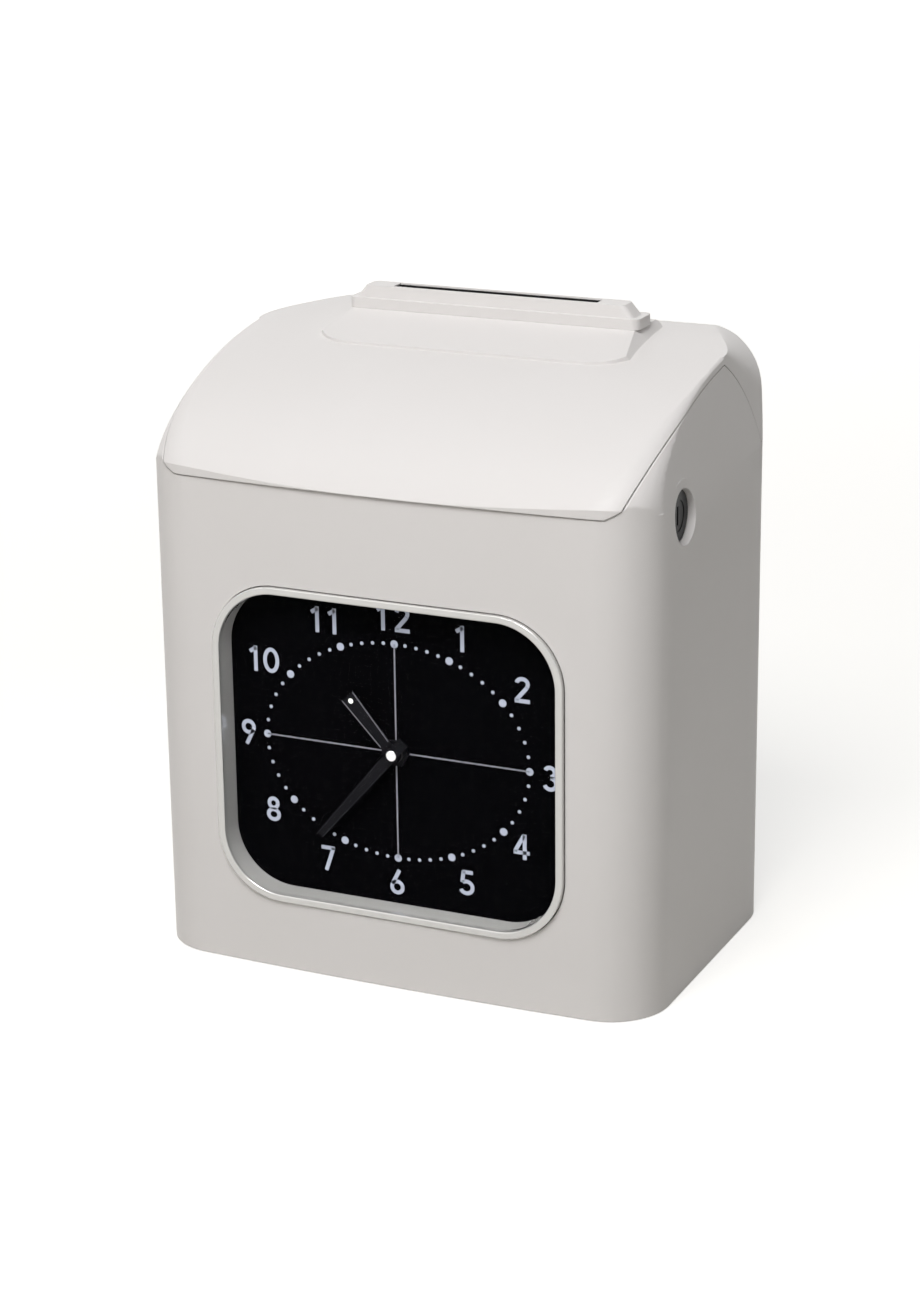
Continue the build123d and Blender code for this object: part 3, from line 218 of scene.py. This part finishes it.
# ---------------------------------------------------------------- casing
# Housing, hinged cover and slot collar, injection-moulded in off-white ABS. The collar clips into
# the cover, and the cover turns on two pins at the rear edge of the housing.
MM = 0.001


def give(obj, material):
    """Gives a piece one material."""
    obj.data.materials.clear()
    obj.data.materials.append(material)


def smooth_copy(node, name, material, corner=28.0):
    """A copy of a CAD node's mesh in its place, with its loose triangles merged at shared corners.

    It is shaded smooth across every edge that turns by less than a number of degrees."""
    source = frame["nodes"][node]
    mesh = source.data.copy()
    mesh.name = name
    merge_distance = 0.002 * MM
    work = bmesh.new()
    work.from_mesh(mesh)
    bmesh.ops.remove_doubles(work, verts=work.verts, dist=merge_distance)
    bmesh.ops.dissolve_degenerate(work, edges=work.edges, dist=merge_distance)
    for face in work.faces:
        face.smooth = True
    for edge in work.edges:
        edge.smooth = len(edge.link_faces) == 2 and edge.calc_face_angle(0) < math.radians(corner)
    work.to_mesh(mesh)
    work.free()
    obj = bpy.data.objects.new(name, mesh)
    scene.collection.objects.link(obj)
    weighted = obj.modifiers.new("weighted", "WEIGHTED_NORMAL")
    weighted.keep_sharp = True
    weighted.weight = 60
    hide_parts(node)
    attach(obj, source["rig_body"])
    give(obj, material)


def moulded_plastic(name, colour, shade, roughness, grain_mm, depth_mm, edge_mm=0.3, gloss=0.5):
    """Moulded plastic or rubber: clouds about 70 mm across between two close shades, which are a
    little rougher where they are darker, a fine grain of a given width and depth in millimetres,
    and corners that catch the light as if rounded to a given radius."""
    clouds_per_metre = 14.0
    material, out = new_material(name)
    place = add_node(material, "ShaderNodeTexCoord")
    clouds = add_node(material, "ShaderNodeTexNoise", {"Scale": clouds_per_metre, "Detail": 3.0},
                      Vector=place.outputs["Object"])
    tint = add_node(material, "ShaderNodeMix",
                    {"data_type": "RGBA", 6: linear(colour), 7: linear(shade)},
                    n0=clouds.outputs["Fac"])
    grain = add_node(material, "ShaderNodeTexNoise", {"Scale": 1 / (grain_mm * MM), "Detail": 2.0},
                     Vector=place.outputs["Object"])
    corners = add_node(material, "ShaderNodeBevel", {"samples": 6, "Radius": edge_mm * MM})
    bump = add_node(material, "ShaderNodeBump", {"Strength": 0.25, "Distance": depth_mm * MM},
                    Height=grain.outputs["Fac"], Normal=corners.outputs[0])
    sheen = add_node(material, "ShaderNodeMapRange",
                     {"To Min": roughness - 0.04, "To Max": roughness + 0.05},
                     Value=clouds.outputs["Fac"])
    skin = add_node(material, "ShaderNodeBsdfPrincipled", {"IOR": 1.5, "Specular IOR Level": gloss},
                    Base_Color=tint.outputs[2], Roughness=sheen.outputs[0], Normal=bump.outputs[0])
    material.node_tree.links.new(skin.outputs[0], out.inputs["Surface"])
    return material


# ABS from a spark-eroded mould: its grain breaks highlights into soft broad ones, and is drawn
# 0.5 mm wide, coarser than the real one, so that it shows. The faintly yellower clouds are where
# hands and daylight reach it.
casing_abs = moulded_plastic("moulded_abs_off_white", "#e4e1e0", "#e0dddb", roughness=0.4,
                             grain_mm=0.5, depth_mm=0.03, edge_mm=0.5, gloss=0.22)
for node in ("housing", "top_cover", "slot_collar"):
    smooth_copy(node, node + "_skin", casing_abs)

# ---------------------------------------------------------------- dial
# A thin steel sheet, stove-enamelled black, with its marks screen-printed in a cool light grey:
# a ring of dots, an hour dot beside each numeral, and two fine lines that cross at the arbor.
dial_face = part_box("dial_plate")[0].y
axis_z = (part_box("movement")[0].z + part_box("movement")[1].z) / 2
ink_height = 0.04 * MM


def solid_paint(name, colour, roughness, drift, patch_mm=6.0, gloss=0.5):
    """Paint or ink of one colour, whose roughness drifts up and down by an amount over patches of
    a given width in millimetres, as a brushed or printed coat dries."""
    material, out = new_material(name)
    place = add_node(material, "ShaderNodeTexCoord")
    patches = add_node(material, "ShaderNodeTexNoise",
                       {"Scale": 1 / (patch_mm * MM), "Detail": 2.0},
                       Vector=place.outputs["Object"])
    rough = add_node(material, "ShaderNodeMapRange",
                     {"To Min": roughness - drift, "To Max": roughness + drift},
                     Value=patches.outputs["Fac"])
    skin = add_node(material, "ShaderNodeBsdfPrincipled",
                    {"Base Color": linear(colour), "IOR": 1.45, "Specular IOR Level": gloss},
                    Roughness=rough.outputs[0])
    material.node_tree.links.new(skin.outputs[0], out.inputs["Surface"])
    return material


# Stoved enamel, matted so that no lamp shows on it behind the lens: a deep even black.
dial_enamel = solid_paint("stoved_black_enamel", "#040405", roughness=0.6, drift=0.05, gloss=0.0)
# Screen ink, a thin flat film that dries a little unevenly over 1 mm: pale and dull, and thinner
# and darker in the lines.
dial_ink = solid_paint("screen_ink_light_grey", "#8e93a0", 0.6, 0.08, patch_mm=1.0, gloss=0.1)
line_ink = solid_paint("screen_ink_mid_grey", "#6e6e76", 0.6, 0.08, patch_mm=1.0, gloss=0.1)
give(frame["nodes"]["dial_plate"], dial_enamel)


def printed(name, outlines, ink):
    """Flat marks on the dial, one face for each outline in an array of outlines by corners by x
    and z, all at one small height above the dial."""
    flat = outlines.reshape(-1, 2)
    height = np.full(len(flat), dial_face - ink_height)
    obj = mesh_object(name, np.stack([flat[:, 0], height, flat[:, 1]], 1),
                      np.arange(len(flat)).reshape(len(outlines), -1), smooth=False)
    give(obj, ink)
    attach(obj, "casing")


def discs(x, z, radius, sides=18):
    """Round outlines in the dial's plane: each middle plus the radius times the cosine and the sine
    of an angle that goes once round."""
    turn = np.linspace(0, 2 * math.pi, sides, endpoint=False)
    return np.stack([np.add.outer(x, radius * np.cos(turn)),
                     np.add.outer(z, radius * np.sin(turn))], -1)


# The ring of dots is an ellipse. Each dot stands at its minute's true angle, six degrees apart, and
# its reach is one over the length of the sine and cosine divided by the ellipse's half axes.
ring_wide, ring_high = 55.0 * MM, 43.0 * MM
hour_dot, minute_dot, half_line = 1.55 * MM, 0.72 * MM, 0.3 * MM
minute = np.arange(60)
angle = np.radians(6 * minute)
reach = 1 / np.hypot(np.sin(angle) / ring_wide, np.cos(angle) / ring_high)
ring_x, ring_z = reach * np.sin(angle), axis_z + reach * np.cos(angle)
on_hour = minute % 5 == 0
printed("hour_dots", discs(ring_x[on_hour], ring_z[on_hour], hour_dot), dial_ink)
printed("minute_dots", discs(ring_x[~on_hour], ring_z[~on_hour], minute_dot), dial_ink)
corner_signs = np.array([(-1, -1), (1, -1), (1, 1), (-1, 1)])
cross = np.stack([corner_signs * (half_line, ring_high), corner_signs * (ring_wide, half_line)])
printed("cross_lines", cross + (0, axis_z), line_ink)

# ---------------------------------------------------------------- numerals
# Twelve plain numerals in the same ink, drawn in strokes of one width as a sign-writer draws them:
# each stroke is a line or an arc of an ellipse, one unit being the numeral's height.
numeral_height = 10.2 * MM
stroke_width = 0.155


def line(x0, z0, x1, z1):
    """The middle of a straight stroke, as its two ends."""
    return np.linspace((x0, z0), (x1, z1), 2)


def arc(x, z, wide, high, start, end):
    """The middle of a curved stroke: an ellipse's middle plus its half axes times the cosine and
    the sine of an angle that runs between two angles in degrees."""
    turn = np.radians(np.linspace(start, end, 28))
    return np.stack([x + wide * np.cos(turn), z + high * np.sin(turn)], 1)


def ribbon(middle):
    """A stroke as four-cornered outlines, square at the ends: its middle line moved half a width
    to each side, at right angles to the way it runs."""
    along = np.gradient(middle, axis=0)
    side = np.stack([-along[:, 1], along[:, 0]], 1) * (stroke_width / 2)
    side /= np.linalg.norm(along, axis=1)[:, None]
    left, other = middle + side, middle - side
    return np.stack([other[:-1], other[1:], left[1:], left[:-1]], 1)


# Each digit's strokes, right of its middle and up from its foot. Low and high are the middles of
# strokes that lie along its foot and its top.
low, high = stroke_width / 2, 1 - stroke_width / 2
bowl = 0.3 - low
six = [arc(0, 0.3, bowl, bowl, 0, 360), line(-0.2, 0.4, 0.1, 1.0)]
digits = {
    0: [arc(0, 0.5, 0.26, 0.5 - low, 0, 360)],
    1: [line(0.1, 0, 0.1, 1), line(0.13, 0.93, -0.14, 0.76)],
    2: [arc(0, 0.735, 0.22, high - 0.735, 172, -38), line(0.18, 0.6, -0.24, low + 0.03),
        line(-0.3, low, 0.3, low)],
    3: [arc(-0.02, 0.745, 0.19, high - 0.745, 160, -84),
        arc(-0.01, 0.3, 0.235, 0.3 - low, 88, -158)],
    4: [line(0.1, 0.97, -0.27, 0.3), line(-0.33, 0.27, 0.32, 0.27), line(0.12, 0, 0.12, 1)],
    5: [line(-0.17, high, 0.24, high), line(-0.14, 0.96, -0.2, 0.5),
        arc(-0.03, 0.315, 0.25, 0.315 - low, 128, -155)],
    6: six,
    7: [line(-0.29, high, 0.28, high), line(0.22, 0.95, -0.1, 0)],
    8: [arc(0, 0.735, 0.18, high - 0.735, 0, 360), arc(0, 0.28, 0.225, 0.28 - low, 0, 360)],
    9: [(0, 1) - stroke for stroke in six],
}
# Each numeral's middle, in millimetres right of and above the arbor, and how far apart the middles
# of the digits of ten, eleven and twelve stand, in numeral heights.
numeral_places = {12: (-1.0, 53.0), 1: (27.0, 48.5), 2: (52.2, 31.7), 3: (63.4, -1.5),
                  4: (51.6, -30.4), 5: (28.9, -48.6), 6: (-0.6, -53.0), 7: (-30.0, -47.7),
                  8: (-53.4, -30.8), 9: (-63.2, -0.3), 10: (-56.3, 30.0), 11: (-29.6, 48.9)}
digit_step = {10: 0.754, 11: 0.712, 12: 0.88}
for number, (x, z) in numeral_places.items():
    step = digit_step.get(number, 0)
    strokes = [ribbon(stroke + (place * step, -0.5))
               for place, digit in zip((-0.5, 0.5) if step else (0,), str(number))
               for stroke in digits[int(digit)]]
    printed(f"numeral_{number}",
            np.concatenate(strokes) * numeral_height + (x * MM, axis_z + z * MM), dial_ink)

# ---------------------------------------------------------------- hands
# Thin brass, blackened, with painted highlights along the edges, pressed on the movement's tube
# and arbor, in front of the nut that holds the dial. A bright cap closes the arbor, and the hour
# hand has a spot of painted highlight near its tip.
hub_reach = 5 * MM
edge_width = 0.4 * MM
spot_inset = 2.2 * MM

# Blackened brass: a satin black, barely lighter than the dial, so the hands show by the painted
# highlights along their edges.
hand_black = solid_paint("blackened_brass", "#0c0c0f", 0.5, 0.05, gloss=0.06)
# Painted highlights for the light on the hands' bevelled edges: mid grey on the hour hand, near
# black on the minute hand, and a dull white spot of painted highlight near the hour hand's tip.
hand_edge_highlight = solid_paint("painted_edge_highlight_grey", "#5b5b62", 0.5, 0.05, gloss=0.2)
hand_edge_faint_highlight = solid_paint("hand_edge_faint_highlight", "#1a1a1e", 0.5, 0.05, gloss=0.06)
hand_tip_highlight = solid_paint("painted_tip_highlight_white", "#f2f2ee", 0.6, 0.05)
for node in ("hour_hand", "minute_hand", "dial_nut"):
    give(frame["nodes"][node], hand_black)


def hand_marks(node, clock_angle, length, root, tip, body, ink, spot=0):
    """Two narrow strips of painted highlight along a hand's edges, from its hub to its tip, and a
    spot of painted highlight near the tip.

    Each corner is the hand's direction times its reach plus the direction across times its side."""
    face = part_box(node)[0].y - ink_height / 2
    out = np.array([math.sin(math.radians(clock_angle)), math.cos(math.radians(clock_angle))])
    across = np.array([out[1], -out[0]])
    far = np.array([[hub_reach], [length], [length], [hub_reach]])
    wide = np.array([[root / 2], [tip / 2], [tip / 2 - edge_width], [root / 2 - edge_width]])
    strips = np.concatenate([far * out + side * wide * across for side in (-1, 1)])
    marks = [("_edge_highlights", strips, [(3, 2, 1, 0), (4, 5, 6, 7)], ink)]
    if spot:
        ring = discs(*(out * (length - spot_inset)), spot)
        marks.append(("_tip_highlight", ring, [range(len(ring))], hand_tip_highlight))
    for ending, flat, faces, paint in marks:
        points = np.column_stack([flat[:, 0], np.full(len(flat), face), axis_z + flat[:, 1]])
        piece = mesh_object(node + ending, points, faces, smooth=False)
        give(piece, paint)
        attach(piece, body)


hand_marks("hour_hand", 318.4, length=28 * MM, root=4.6 * MM, tip=6.4 * MM, body="hour",
           ink=hand_edge_highlight, spot=1.0 * MM)
hand_marks("minute_hand", 220.4, length=48 * MM, root=4.6 * MM, tip=2.8 * MM, body="minute",
           ink=hand_edge_faint_highlight)


def metal(name, colour, roughness, patch_mm=16.0):
    """A bare or plated metal whose roughness drifts by a quarter over patches of a given width in
    millimetres, as handling and plating leave it."""
    material, out = new_material(name)
    place = add_node(material, "ShaderNodeTexCoord")
    patches = add_node(material, "ShaderNodeTexNoise",
                       {"Scale": 1 / (patch_mm * MM), "Detail": 2.0},
                       Vector=place.outputs["Object"])
    rough = add_node(material, "ShaderNodeMapRange",
                     {"To Min": roughness * 0.8, "To Max": roughness * 1.25},
                     Value=patches.outputs["Fac"])
    skin = add_node(material, "ShaderNodeBsdfPrincipled",
                    {"Base Color": linear(colour), "Metallic": 1.0}, Roughness=rough.outputs[0])
    material.node_tree.links.new(skin.outputs[0], out.inputs["Surface"])
    return material


# Nickel plate, polished: a small white glint at the middle of the dial.
nickel = metal("bright_nickel", "#f0f0f0", 0.18)

# The cap is a dome about the arbor: at each rise its radius is the cosine and its height the sine,
# in rings closed by triangles that meet at the tip.
cap_low, cap_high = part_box("hand_cap")
cap_radius, cap_height = (cap_high.x - cap_low.x) / 2, cap_high.y - cap_low.y
cap_rings, cap_sides = 8, 32
turn, rise = np.meshgrid(np.linspace(0, 2 * math.pi, cap_sides, endpoint=False),
                         np.linspace(0, math.pi / 2, cap_rings, endpoint=False))
dome = np.stack([cap_radius * np.cos(rise) * np.cos(turn),
                 cap_high.y - cap_height * np.sin(rise),
                 axis_z + cap_radius * np.cos(rise) * np.sin(turn)], 2).reshape(-1, 3)
ring_start, column = np.meshgrid(np.arange(cap_rings - 1) * cap_sides, np.arange(cap_sides),
                                 indexing="ij")
here, beside = ring_start + column, ring_start + (column + 1) % cap_sides
bands = np.stack([here, beside, beside + cap_sides, here + cap_sides], 2).reshape(-1, 4)
last_ring = (cap_rings - 1) * cap_sides + np.arange(cap_sides)
tip = np.stack([last_ring, np.roll(last_ring, -1), np.full(cap_sides, len(dome))], 1)
cap = mesh_object("arbor_cap", np.vstack([dome, (0, cap_low.y, axis_z)]), [*bands, *tip])
give(cap, nickel)
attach(cap, "minute")
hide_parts("hand_cap")

# ---------------------------------------------------------------- bezel and lens
# A chromed plastic rim that clips into the housing's window, and a clear acrylic lens held in it.
# The lens has an anti-glare coating, so it mirrors little and the dial stays black.

# Chrome on plastic, softer than on metal: a pale satin rim with bright lines along its rounded
# edges. Its roughness drifts over patches of 11 mm.
bezel_chrome, output = new_material("chromed_rim")
place = add_node(bezel_chrome, "ShaderNodeTexCoord")
clouds = add_node(bezel_chrome, "ShaderNodeTexNoise", {"Scale": 90.0, "Detail": 2.0},
                  Vector=place.outputs["Object"])
rough = add_node(bezel_chrome, "ShaderNodeMapRange", {"To Min": 0.16, "To Max": 0.24},
                 Value=clouds.outputs["Fac"])
skin = add_node(bezel_chrome, "ShaderNodeBsdfPrincipled",
                {"Base Color": linear("#cccbc9"), "Metallic": 0.55}, Roughness=rough.outputs[0])
bezel_chrome.node_tree.links.new(skin.outputs[0], output.inputs["Surface"])
smooth_copy("bezel", "bezel_rim", bezel_chrome)

# Coated acrylic, cast and perfectly clear: it shows only at a glancing angle, and lets lamplight
# through to the dial without a shadow. The low IOR stands for what the coating takes away.
lens_clear, output = new_material("coated_acrylic")
glass = add_node(lens_clear, "ShaderNodeBsdfPrincipled",
                 {"Base Color": (1, 1, 1, 1), "Roughness": 0.0, "IOR": 1.03,
                  "Transmission Weight": 1.0})
clear = add_node(lens_clear, "ShaderNodeBsdfTransparent")
path = add_node(lens_clear, "ShaderNodeLightPath")
mixed = add_node(lens_clear, "ShaderNodeMixShader", Fac=path.outputs["Is Shadow Ray"],
                 n1=glass.outputs[0], n2=clear.outputs[0])
lens_clear.node_tree.links.new(mixed.outputs[0], output.inputs["Surface"])
give(frame["nodes"]["lens"], lens_clear)

# ---------------------------------------------------------------- chassis, guides and plates
# Pressed and folded sheet steel, hot-dip galvanised: the chassis that carries the card path, its
# two card guides, the belt's plate, and the base and back plates screwed to the housing.

# Galvanised sheet: zinc crystals 5 mm across, each a slightly different grey and sheen.
spangle_mm = 5
zinc, output = new_material("galvanised_sheet")
place = add_node(zinc, "ShaderNodeTexCoord")
spangle = add_node(zinc, "ShaderNodeTexVoronoi", {"Scale": 1 / (spangle_mm * MM)},
                   Vector=place.outputs["Object"])
tone = add_node(zinc, "ShaderNodeMix",
                {"data_type": "RGBA", 6: linear("#8f9396"), 7: linear("#a7abae")},
                n0=spangle.outputs["Color"])
rough = add_node(zinc, "ShaderNodeMapRange", {"To Min": 0.34, "To Max": 0.52},
                 Value=spangle.outputs["Color"])
skin = add_node(zinc, "ShaderNodeBsdfPrincipled", {"Metallic": 1.0},
                Base_Color=tone.outputs[2], Roughness=rough.outputs[0])
zinc.node_tree.links.new(skin.outputs[0], output.inputs["Surface"])
for node in ("chassis", "guide_front", "guide_rear", "belt_plate", "base_plate", "back_plate"):
    give(frame["nodes"][node], zinc)

# ---------------------------------------------------------------- steelwork
# Turned shafts, rods, pins and screws, the cans of the two motors, the print head's block, the
# transformer's core, and the catch and cam, stamped from strip. All plain steel, oiled.

# Turned steel: cool grey with clear highlights, which wear softens over 16 mm patches.
steel = metal("turned_steel", "#b9babb", 0.25)
for node in ("hinge_pins", "case_screws", "cover_catch", "lock_cam", "feed_shaft", "pinch_shaft",
             "feed_motor", "guide_rod", "guide_rail", "carriage_motor", "print_head",
             "transformer"):
    give(frame["nodes"][node], steel)

# ---------------------------------------------------------------- brass parts
# The motor's pinion and the belt's driving pulley, turned and pressed on their shafts, and the
# power inlet's pins.

# Turned brass: a warm yellow, a little duller than the steel.
brass = metal("turned_brass", "#c9a45c", 0.3)
for node in ("motor_pinion", "drive_pulley", "inlet_pins"):
    give(frame["nodes"][node], brass)

# ---------------------------------------------------------------- rubber parts
# Rollers moulded on the feed and pinch shafts, the platen the print head strikes, the toothed belt,
# and the four feet.

# Moulded rubber, lightly ground: a dull grey-black with no sharp highlight, and a grain of 0.8 mm,
# drawn coarser than a real ground surface so that it shows.
rubber = moulded_plastic("moulded_rubber", "#1a1a1a", "#202020", 0.75, grain_mm=0.8, depth_mm=0.05)
for node in ("feed_rollers", "pinch_rollers", "platen", "drive_belt", "rubber_feet"):
    give(frame["nodes"][node], rubber)

# ---------------------------------------------------------------- gear and idler
# The feed's large gear and the belt's idler pulley, injection-moulded in undyed nylon, which runs
# quietly without oil, and pushed on their shafts.

# Moulded nylon: cream and faintly waxy, with soft highlights along the teeth and a grain drawn
# 0.6 mm wide, coarser than the real one, so that it shows.
nylon = moulded_plastic("moulded_nylon", "#e4dfcf", "#dcd6c4", 0.5, grain_mm=0.6, depth_mm=0.03)
for node in ("feed_gear", "idler_pulley"):
    give(frame["nodes"][node], nylon)

# ---------------------------------------------------------------- black mouldings
# The control deck under the cover, the card stop, the carriage, the ribbon's cartridge, the
# movement's case, the battery's sleeve and the power inlet, clipped or screwed in place.

# Moulded black plastic: a soft dark satin that greys where it faces a lamp, with a grain drawn
# 0.6 mm wide, coarser than the real one, so that it shows.
black = moulded_plastic("moulded_black", "#1c1c1d", "#161617", 0.45, grain_mm=0.6, depth_mm=0.03)
for node in ("control_deck", "card_stop", "carriage", "ribbon_cartridge", "movement", "battery",
             "inlet"):
    give(frame["nodes"][node], black)

# ---------------------------------------------------------------- ribbon
# A band of nylon cloth soaked in dark violet ink, stretched across the print head's travel between
# the two arms of its cartridge.

# Inked cloth: almost black with a violet cast, quite dull. A grain of 0.35 mm stands for its weave,
# coarser than the real threads so that it shows.
ribbon_ink = moulded_plastic("inked_nylon_ribbon", "#1b1626", "#120f1b", 0.8, grain_mm=0.35,
                             depth_mm=0.06, gloss=0.1)
give(frame["nodes"]["ribbon"], ribbon_ink)

# ---------------------------------------------------------------- circuit boards
# The main board, screwed beside the chassis, and the board under the buttons: glass-fibre sheet
# with etched copper tracks under green lacquer. The main board's components have dark cases.

# Solder resist: glossy green, lighter and slightly raised over the tracks, which run 1.2 mm apart
# and turn a new way in each patch of about 11 mm. Left of the main board's component face all is
# dark. At a scale of one, a wave's bands are two pi over twenty apart.
track_pitch, patch_width = 1.2 * MM, 11 * MM
component_face = -77.3 * MM
wave_unit = 0.314
board, output = new_material("solder_resist")
place = add_node(board, "ShaderNodeTexCoord")
patches = add_node(board, "ShaderNodeTexVoronoi",
                   {"Scale": 1 / patch_width, "distance": "MANHATTAN"},
                   Vector=place.outputs["Object"])
turned = add_node(board, "ShaderNodeVectorRotate", {"rotation_type": "X_AXIS"},
                  Vector=place.outputs["Object"], Angle=patches.outputs["Distance"])
track = add_node(board, "ShaderNodeTexWave",
                 {"Scale": wave_unit / track_pitch, "bands_direction": "Y"},
                 Vector=turned.outputs[0])
copper = add_node(board, "ShaderNodeMapRange", {"From Min": 0.6, "From Max": 0.75},
                  Value=track.outputs["Fac"])
green = add_node(board, "ShaderNodeMix",
                 {"data_type": "RGBA", 6: linear("#16492a"), 7: linear("#2c7444")},
                 n0=copper.outputs[0])
apart = add_node(board, "ShaderNodeSeparateXYZ", n0=place.outputs["Object"])
in_cases = add_node(board, "ShaderNodeMath", {"operation": "LESS_THAN", 1: component_face},
                    n0=apart.outputs["X"])
coloured = add_node(board, "ShaderNodeMix", {"data_type": "RGBA", 7: linear("#232426")},
                    n0=in_cases.outputs[0], n6=green.outputs[2])
ridge = add_node(board, "ShaderNodeBump", {"Strength": 0.3, "Distance": 0.05 * MM},
                 Height=copper.outputs[0])
skin = add_node(board, "ShaderNodeBsdfPrincipled", {"Roughness": 0.32, "IOR": 1.5},
                Base_Color=coloured.outputs[2], Normal=ridge.outputs[0])
board.node_tree.links.new(skin.outputs[0], output.inputs["Surface"])
for node in ("main_board", "button_board"):
    give(frame["nodes"][node], board)

# ---------------------------------------------------------------- display
# A liquid-crystal display in the control deck, with the time in dark segments inside a printed
# frame. The digits are drawn with the numerals' strokes.

# Each digit's place is right of the display's middle, in digit heights, as are the colon's sizes.
lcd_digit_height = 8.0 * MM
lcd_digits = ((-1.55, 1), (-0.75, 0), (0.75, 3), (1.55, 7))
colon_rise, colon_half = 0.22, 0.07
frame_unit, frame_half = 10 * MM, (2.5, 0.7)


def top_marks(name, strokes, node, unit, ink, body):
    """Flat strokes on a node's top face, about its middle, one unit being a given length."""
    low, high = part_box(node)
    middle = ((low.x + high.x) / 2, (low.y + high.y) / 2)
    flat = (np.concatenate([ribbon(stroke) for stroke in strokes]) * unit + middle).reshape(-1, 2)
    points = np.column_stack([flat, np.full(len(flat), high.z + ink_height)])
    obj = mesh_object(name, points, np.arange(len(flat)).reshape(-1, 4), smooth=False)
    give(obj, ink)
    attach(obj, body)


# The display's reflector: grey-green, smooth and softly shiny under its clear cover.
lcd_glass = moulded_plastic("lcd_reflector", "#8d9a80", "#86937a", 0.18, grain_mm=0.3,
                            depth_mm=0.005)
# Its segments: a soft blackish green, a little shinier than ink.
lcd_dark = solid_paint("lcd_segments", "#20261f", 0.3, 0.05)
give(frame["nodes"]["display"], lcd_glass)
time_strokes = [stroke + (place, -0.5) for place, digit in lcd_digits for stroke in digits[digit]]
time_strokes += [line(0, y - colon_half, 0, y + colon_half) for y in (-colon_rise, colon_rise)]
top_marks("lcd_time", time_strokes, "display", lcd_digit_height, lcd_dark, "casing")
frame_corners = np.vstack([corner_signs, corner_signs[:1]]) * frame_half
top_marks("lcd_frame", [frame_corners[n:n + 2] for n in range(4)], "display", frame_unit, lcd_dark,
          "casing")

# ---------------------------------------------------------------- buttons and ribbon knob
# Four setting buttons with signs pad-printed on them (a ring, a plus, a minus and a corner arrow),
# and the knob that winds the ribbon, moulded in grey plastic and pushed on their stems.
sign_height = 4.6 * MM

# Moulded grey plastic: matt enough to keep the signs easy to read, with a grain drawn 0.6 mm wide,
# coarser than the real one, so that it shows.
grey = moulded_plastic("moulded_grey", "#5c6064", "#56595d", 0.5, grain_mm=0.6, depth_mm=0.03)
# Pad-printing ink: a thin dull white.
sign_ink = solid_paint("pad_print_white", "#e8e8e6", 0.6, 0.05)
# Each sign's strokes are about the button's middle, in sign heights.
signs = {"mode": [arc(0, 0, 0.36, 0.36, 0, 360)],
         "plus": [line(-0.45, 0, 0.45, 0), line(0, -0.45, 0, 0.45)],
         "minus": [line(-0.45, 0, 0.45, 0)],
         "enter": [line(0.35, 0.4, 0.35, -0.15), line(0.42, -0.15, -0.4, -0.15),
                   line(-0.4, -0.15, -0.15, 0.1), line(-0.4, -0.15, -0.15, -0.4)]}
for button, strokes in signs.items():
    cap_node = button + "_button"
    give(frame["nodes"][cap_node], grey)
    top_marks(button + "_sign", strokes, cap_node, sign_height, sign_ink, button)
give(frame["nodes"]["ribbon_knob"], grey)

# ---------------------------------------------------------------- lock
# A cam lock: a die-cast zinc barrel and plug, drawn near black, held by a nut behind the right
# cheek.
# Its cam turns under the foot of the cover's catch.

# Near black and half shiny, its roughness uneven over 3 mm where a key rubs it.
lock_black = solid_paint("near_black_lock_zinc", "#0d0d0e", 0.42, 0.06, patch_mm=3.0, gloss=0.35)
for node in ("lock_barrel", "lock_core", "lock_nut"):
    give(frame["nodes"][node], lock_black)

# ---------------------------------------------------------------- painted shade in the slot
# A black sleeve inside the card slot: painted shade for the dark of the deep, narrow slot.
# It stands a hair inside the slot's sides and stops just under the collar's lip.
slot_long, slot_deep, slot_middle = 86.5 * MM, 6.4 * MM, 36.0 * MM
clearance, sheet_thickness, lip = 0.05 * MM, 0.25 * MM, 0.5 * MM

# Painted shade for the slot: deep black with no highlight, and a grain drawn 0.4 mm wide.
slot_shade_black = moulded_plastic("painted_slot_shade", "#0b0b0b", "#111111", 0.95, grain_mm=0.4, depth_mm=0.1)
collar_low, collar_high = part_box("slot_collar")
shade_sleeve_top = collar_high.z - lip

# The sleeve is a rectangle carried round a thin upright wall: up outside, in, down inside, and out.
rings = []
for inset, height in ((0, collar_low.z), (0, shade_sleeve_top), (sheet_thickness, shade_sleeve_top), (sheet_thickness, collar_low.z)):
    half_size = (slot_long / 2 - clearance - inset, slot_deep / 2 - clearance - inset)
    ring = corner_signs * half_size + (0, slot_middle)
    rings.append(np.column_stack([ring, np.full(4, height)]))
row, column = np.meshgrid(np.arange(4), np.arange(4), indexing="ij")
next_row, next_column = (row + 1) % 4, (column + 1) % 4
walls = np.stack([row * 4 + column, row * 4 + next_column, next_row * 4 + next_column,
                  next_row * 4 + column], 2).reshape(-1, 4)
shade_sleeve = mesh_object("slot_painted_shade", np.concatenate(rings), walls, smooth=False)
give(shade_sleeve, slot_shade_black)
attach(shade_sleeve, "cover")
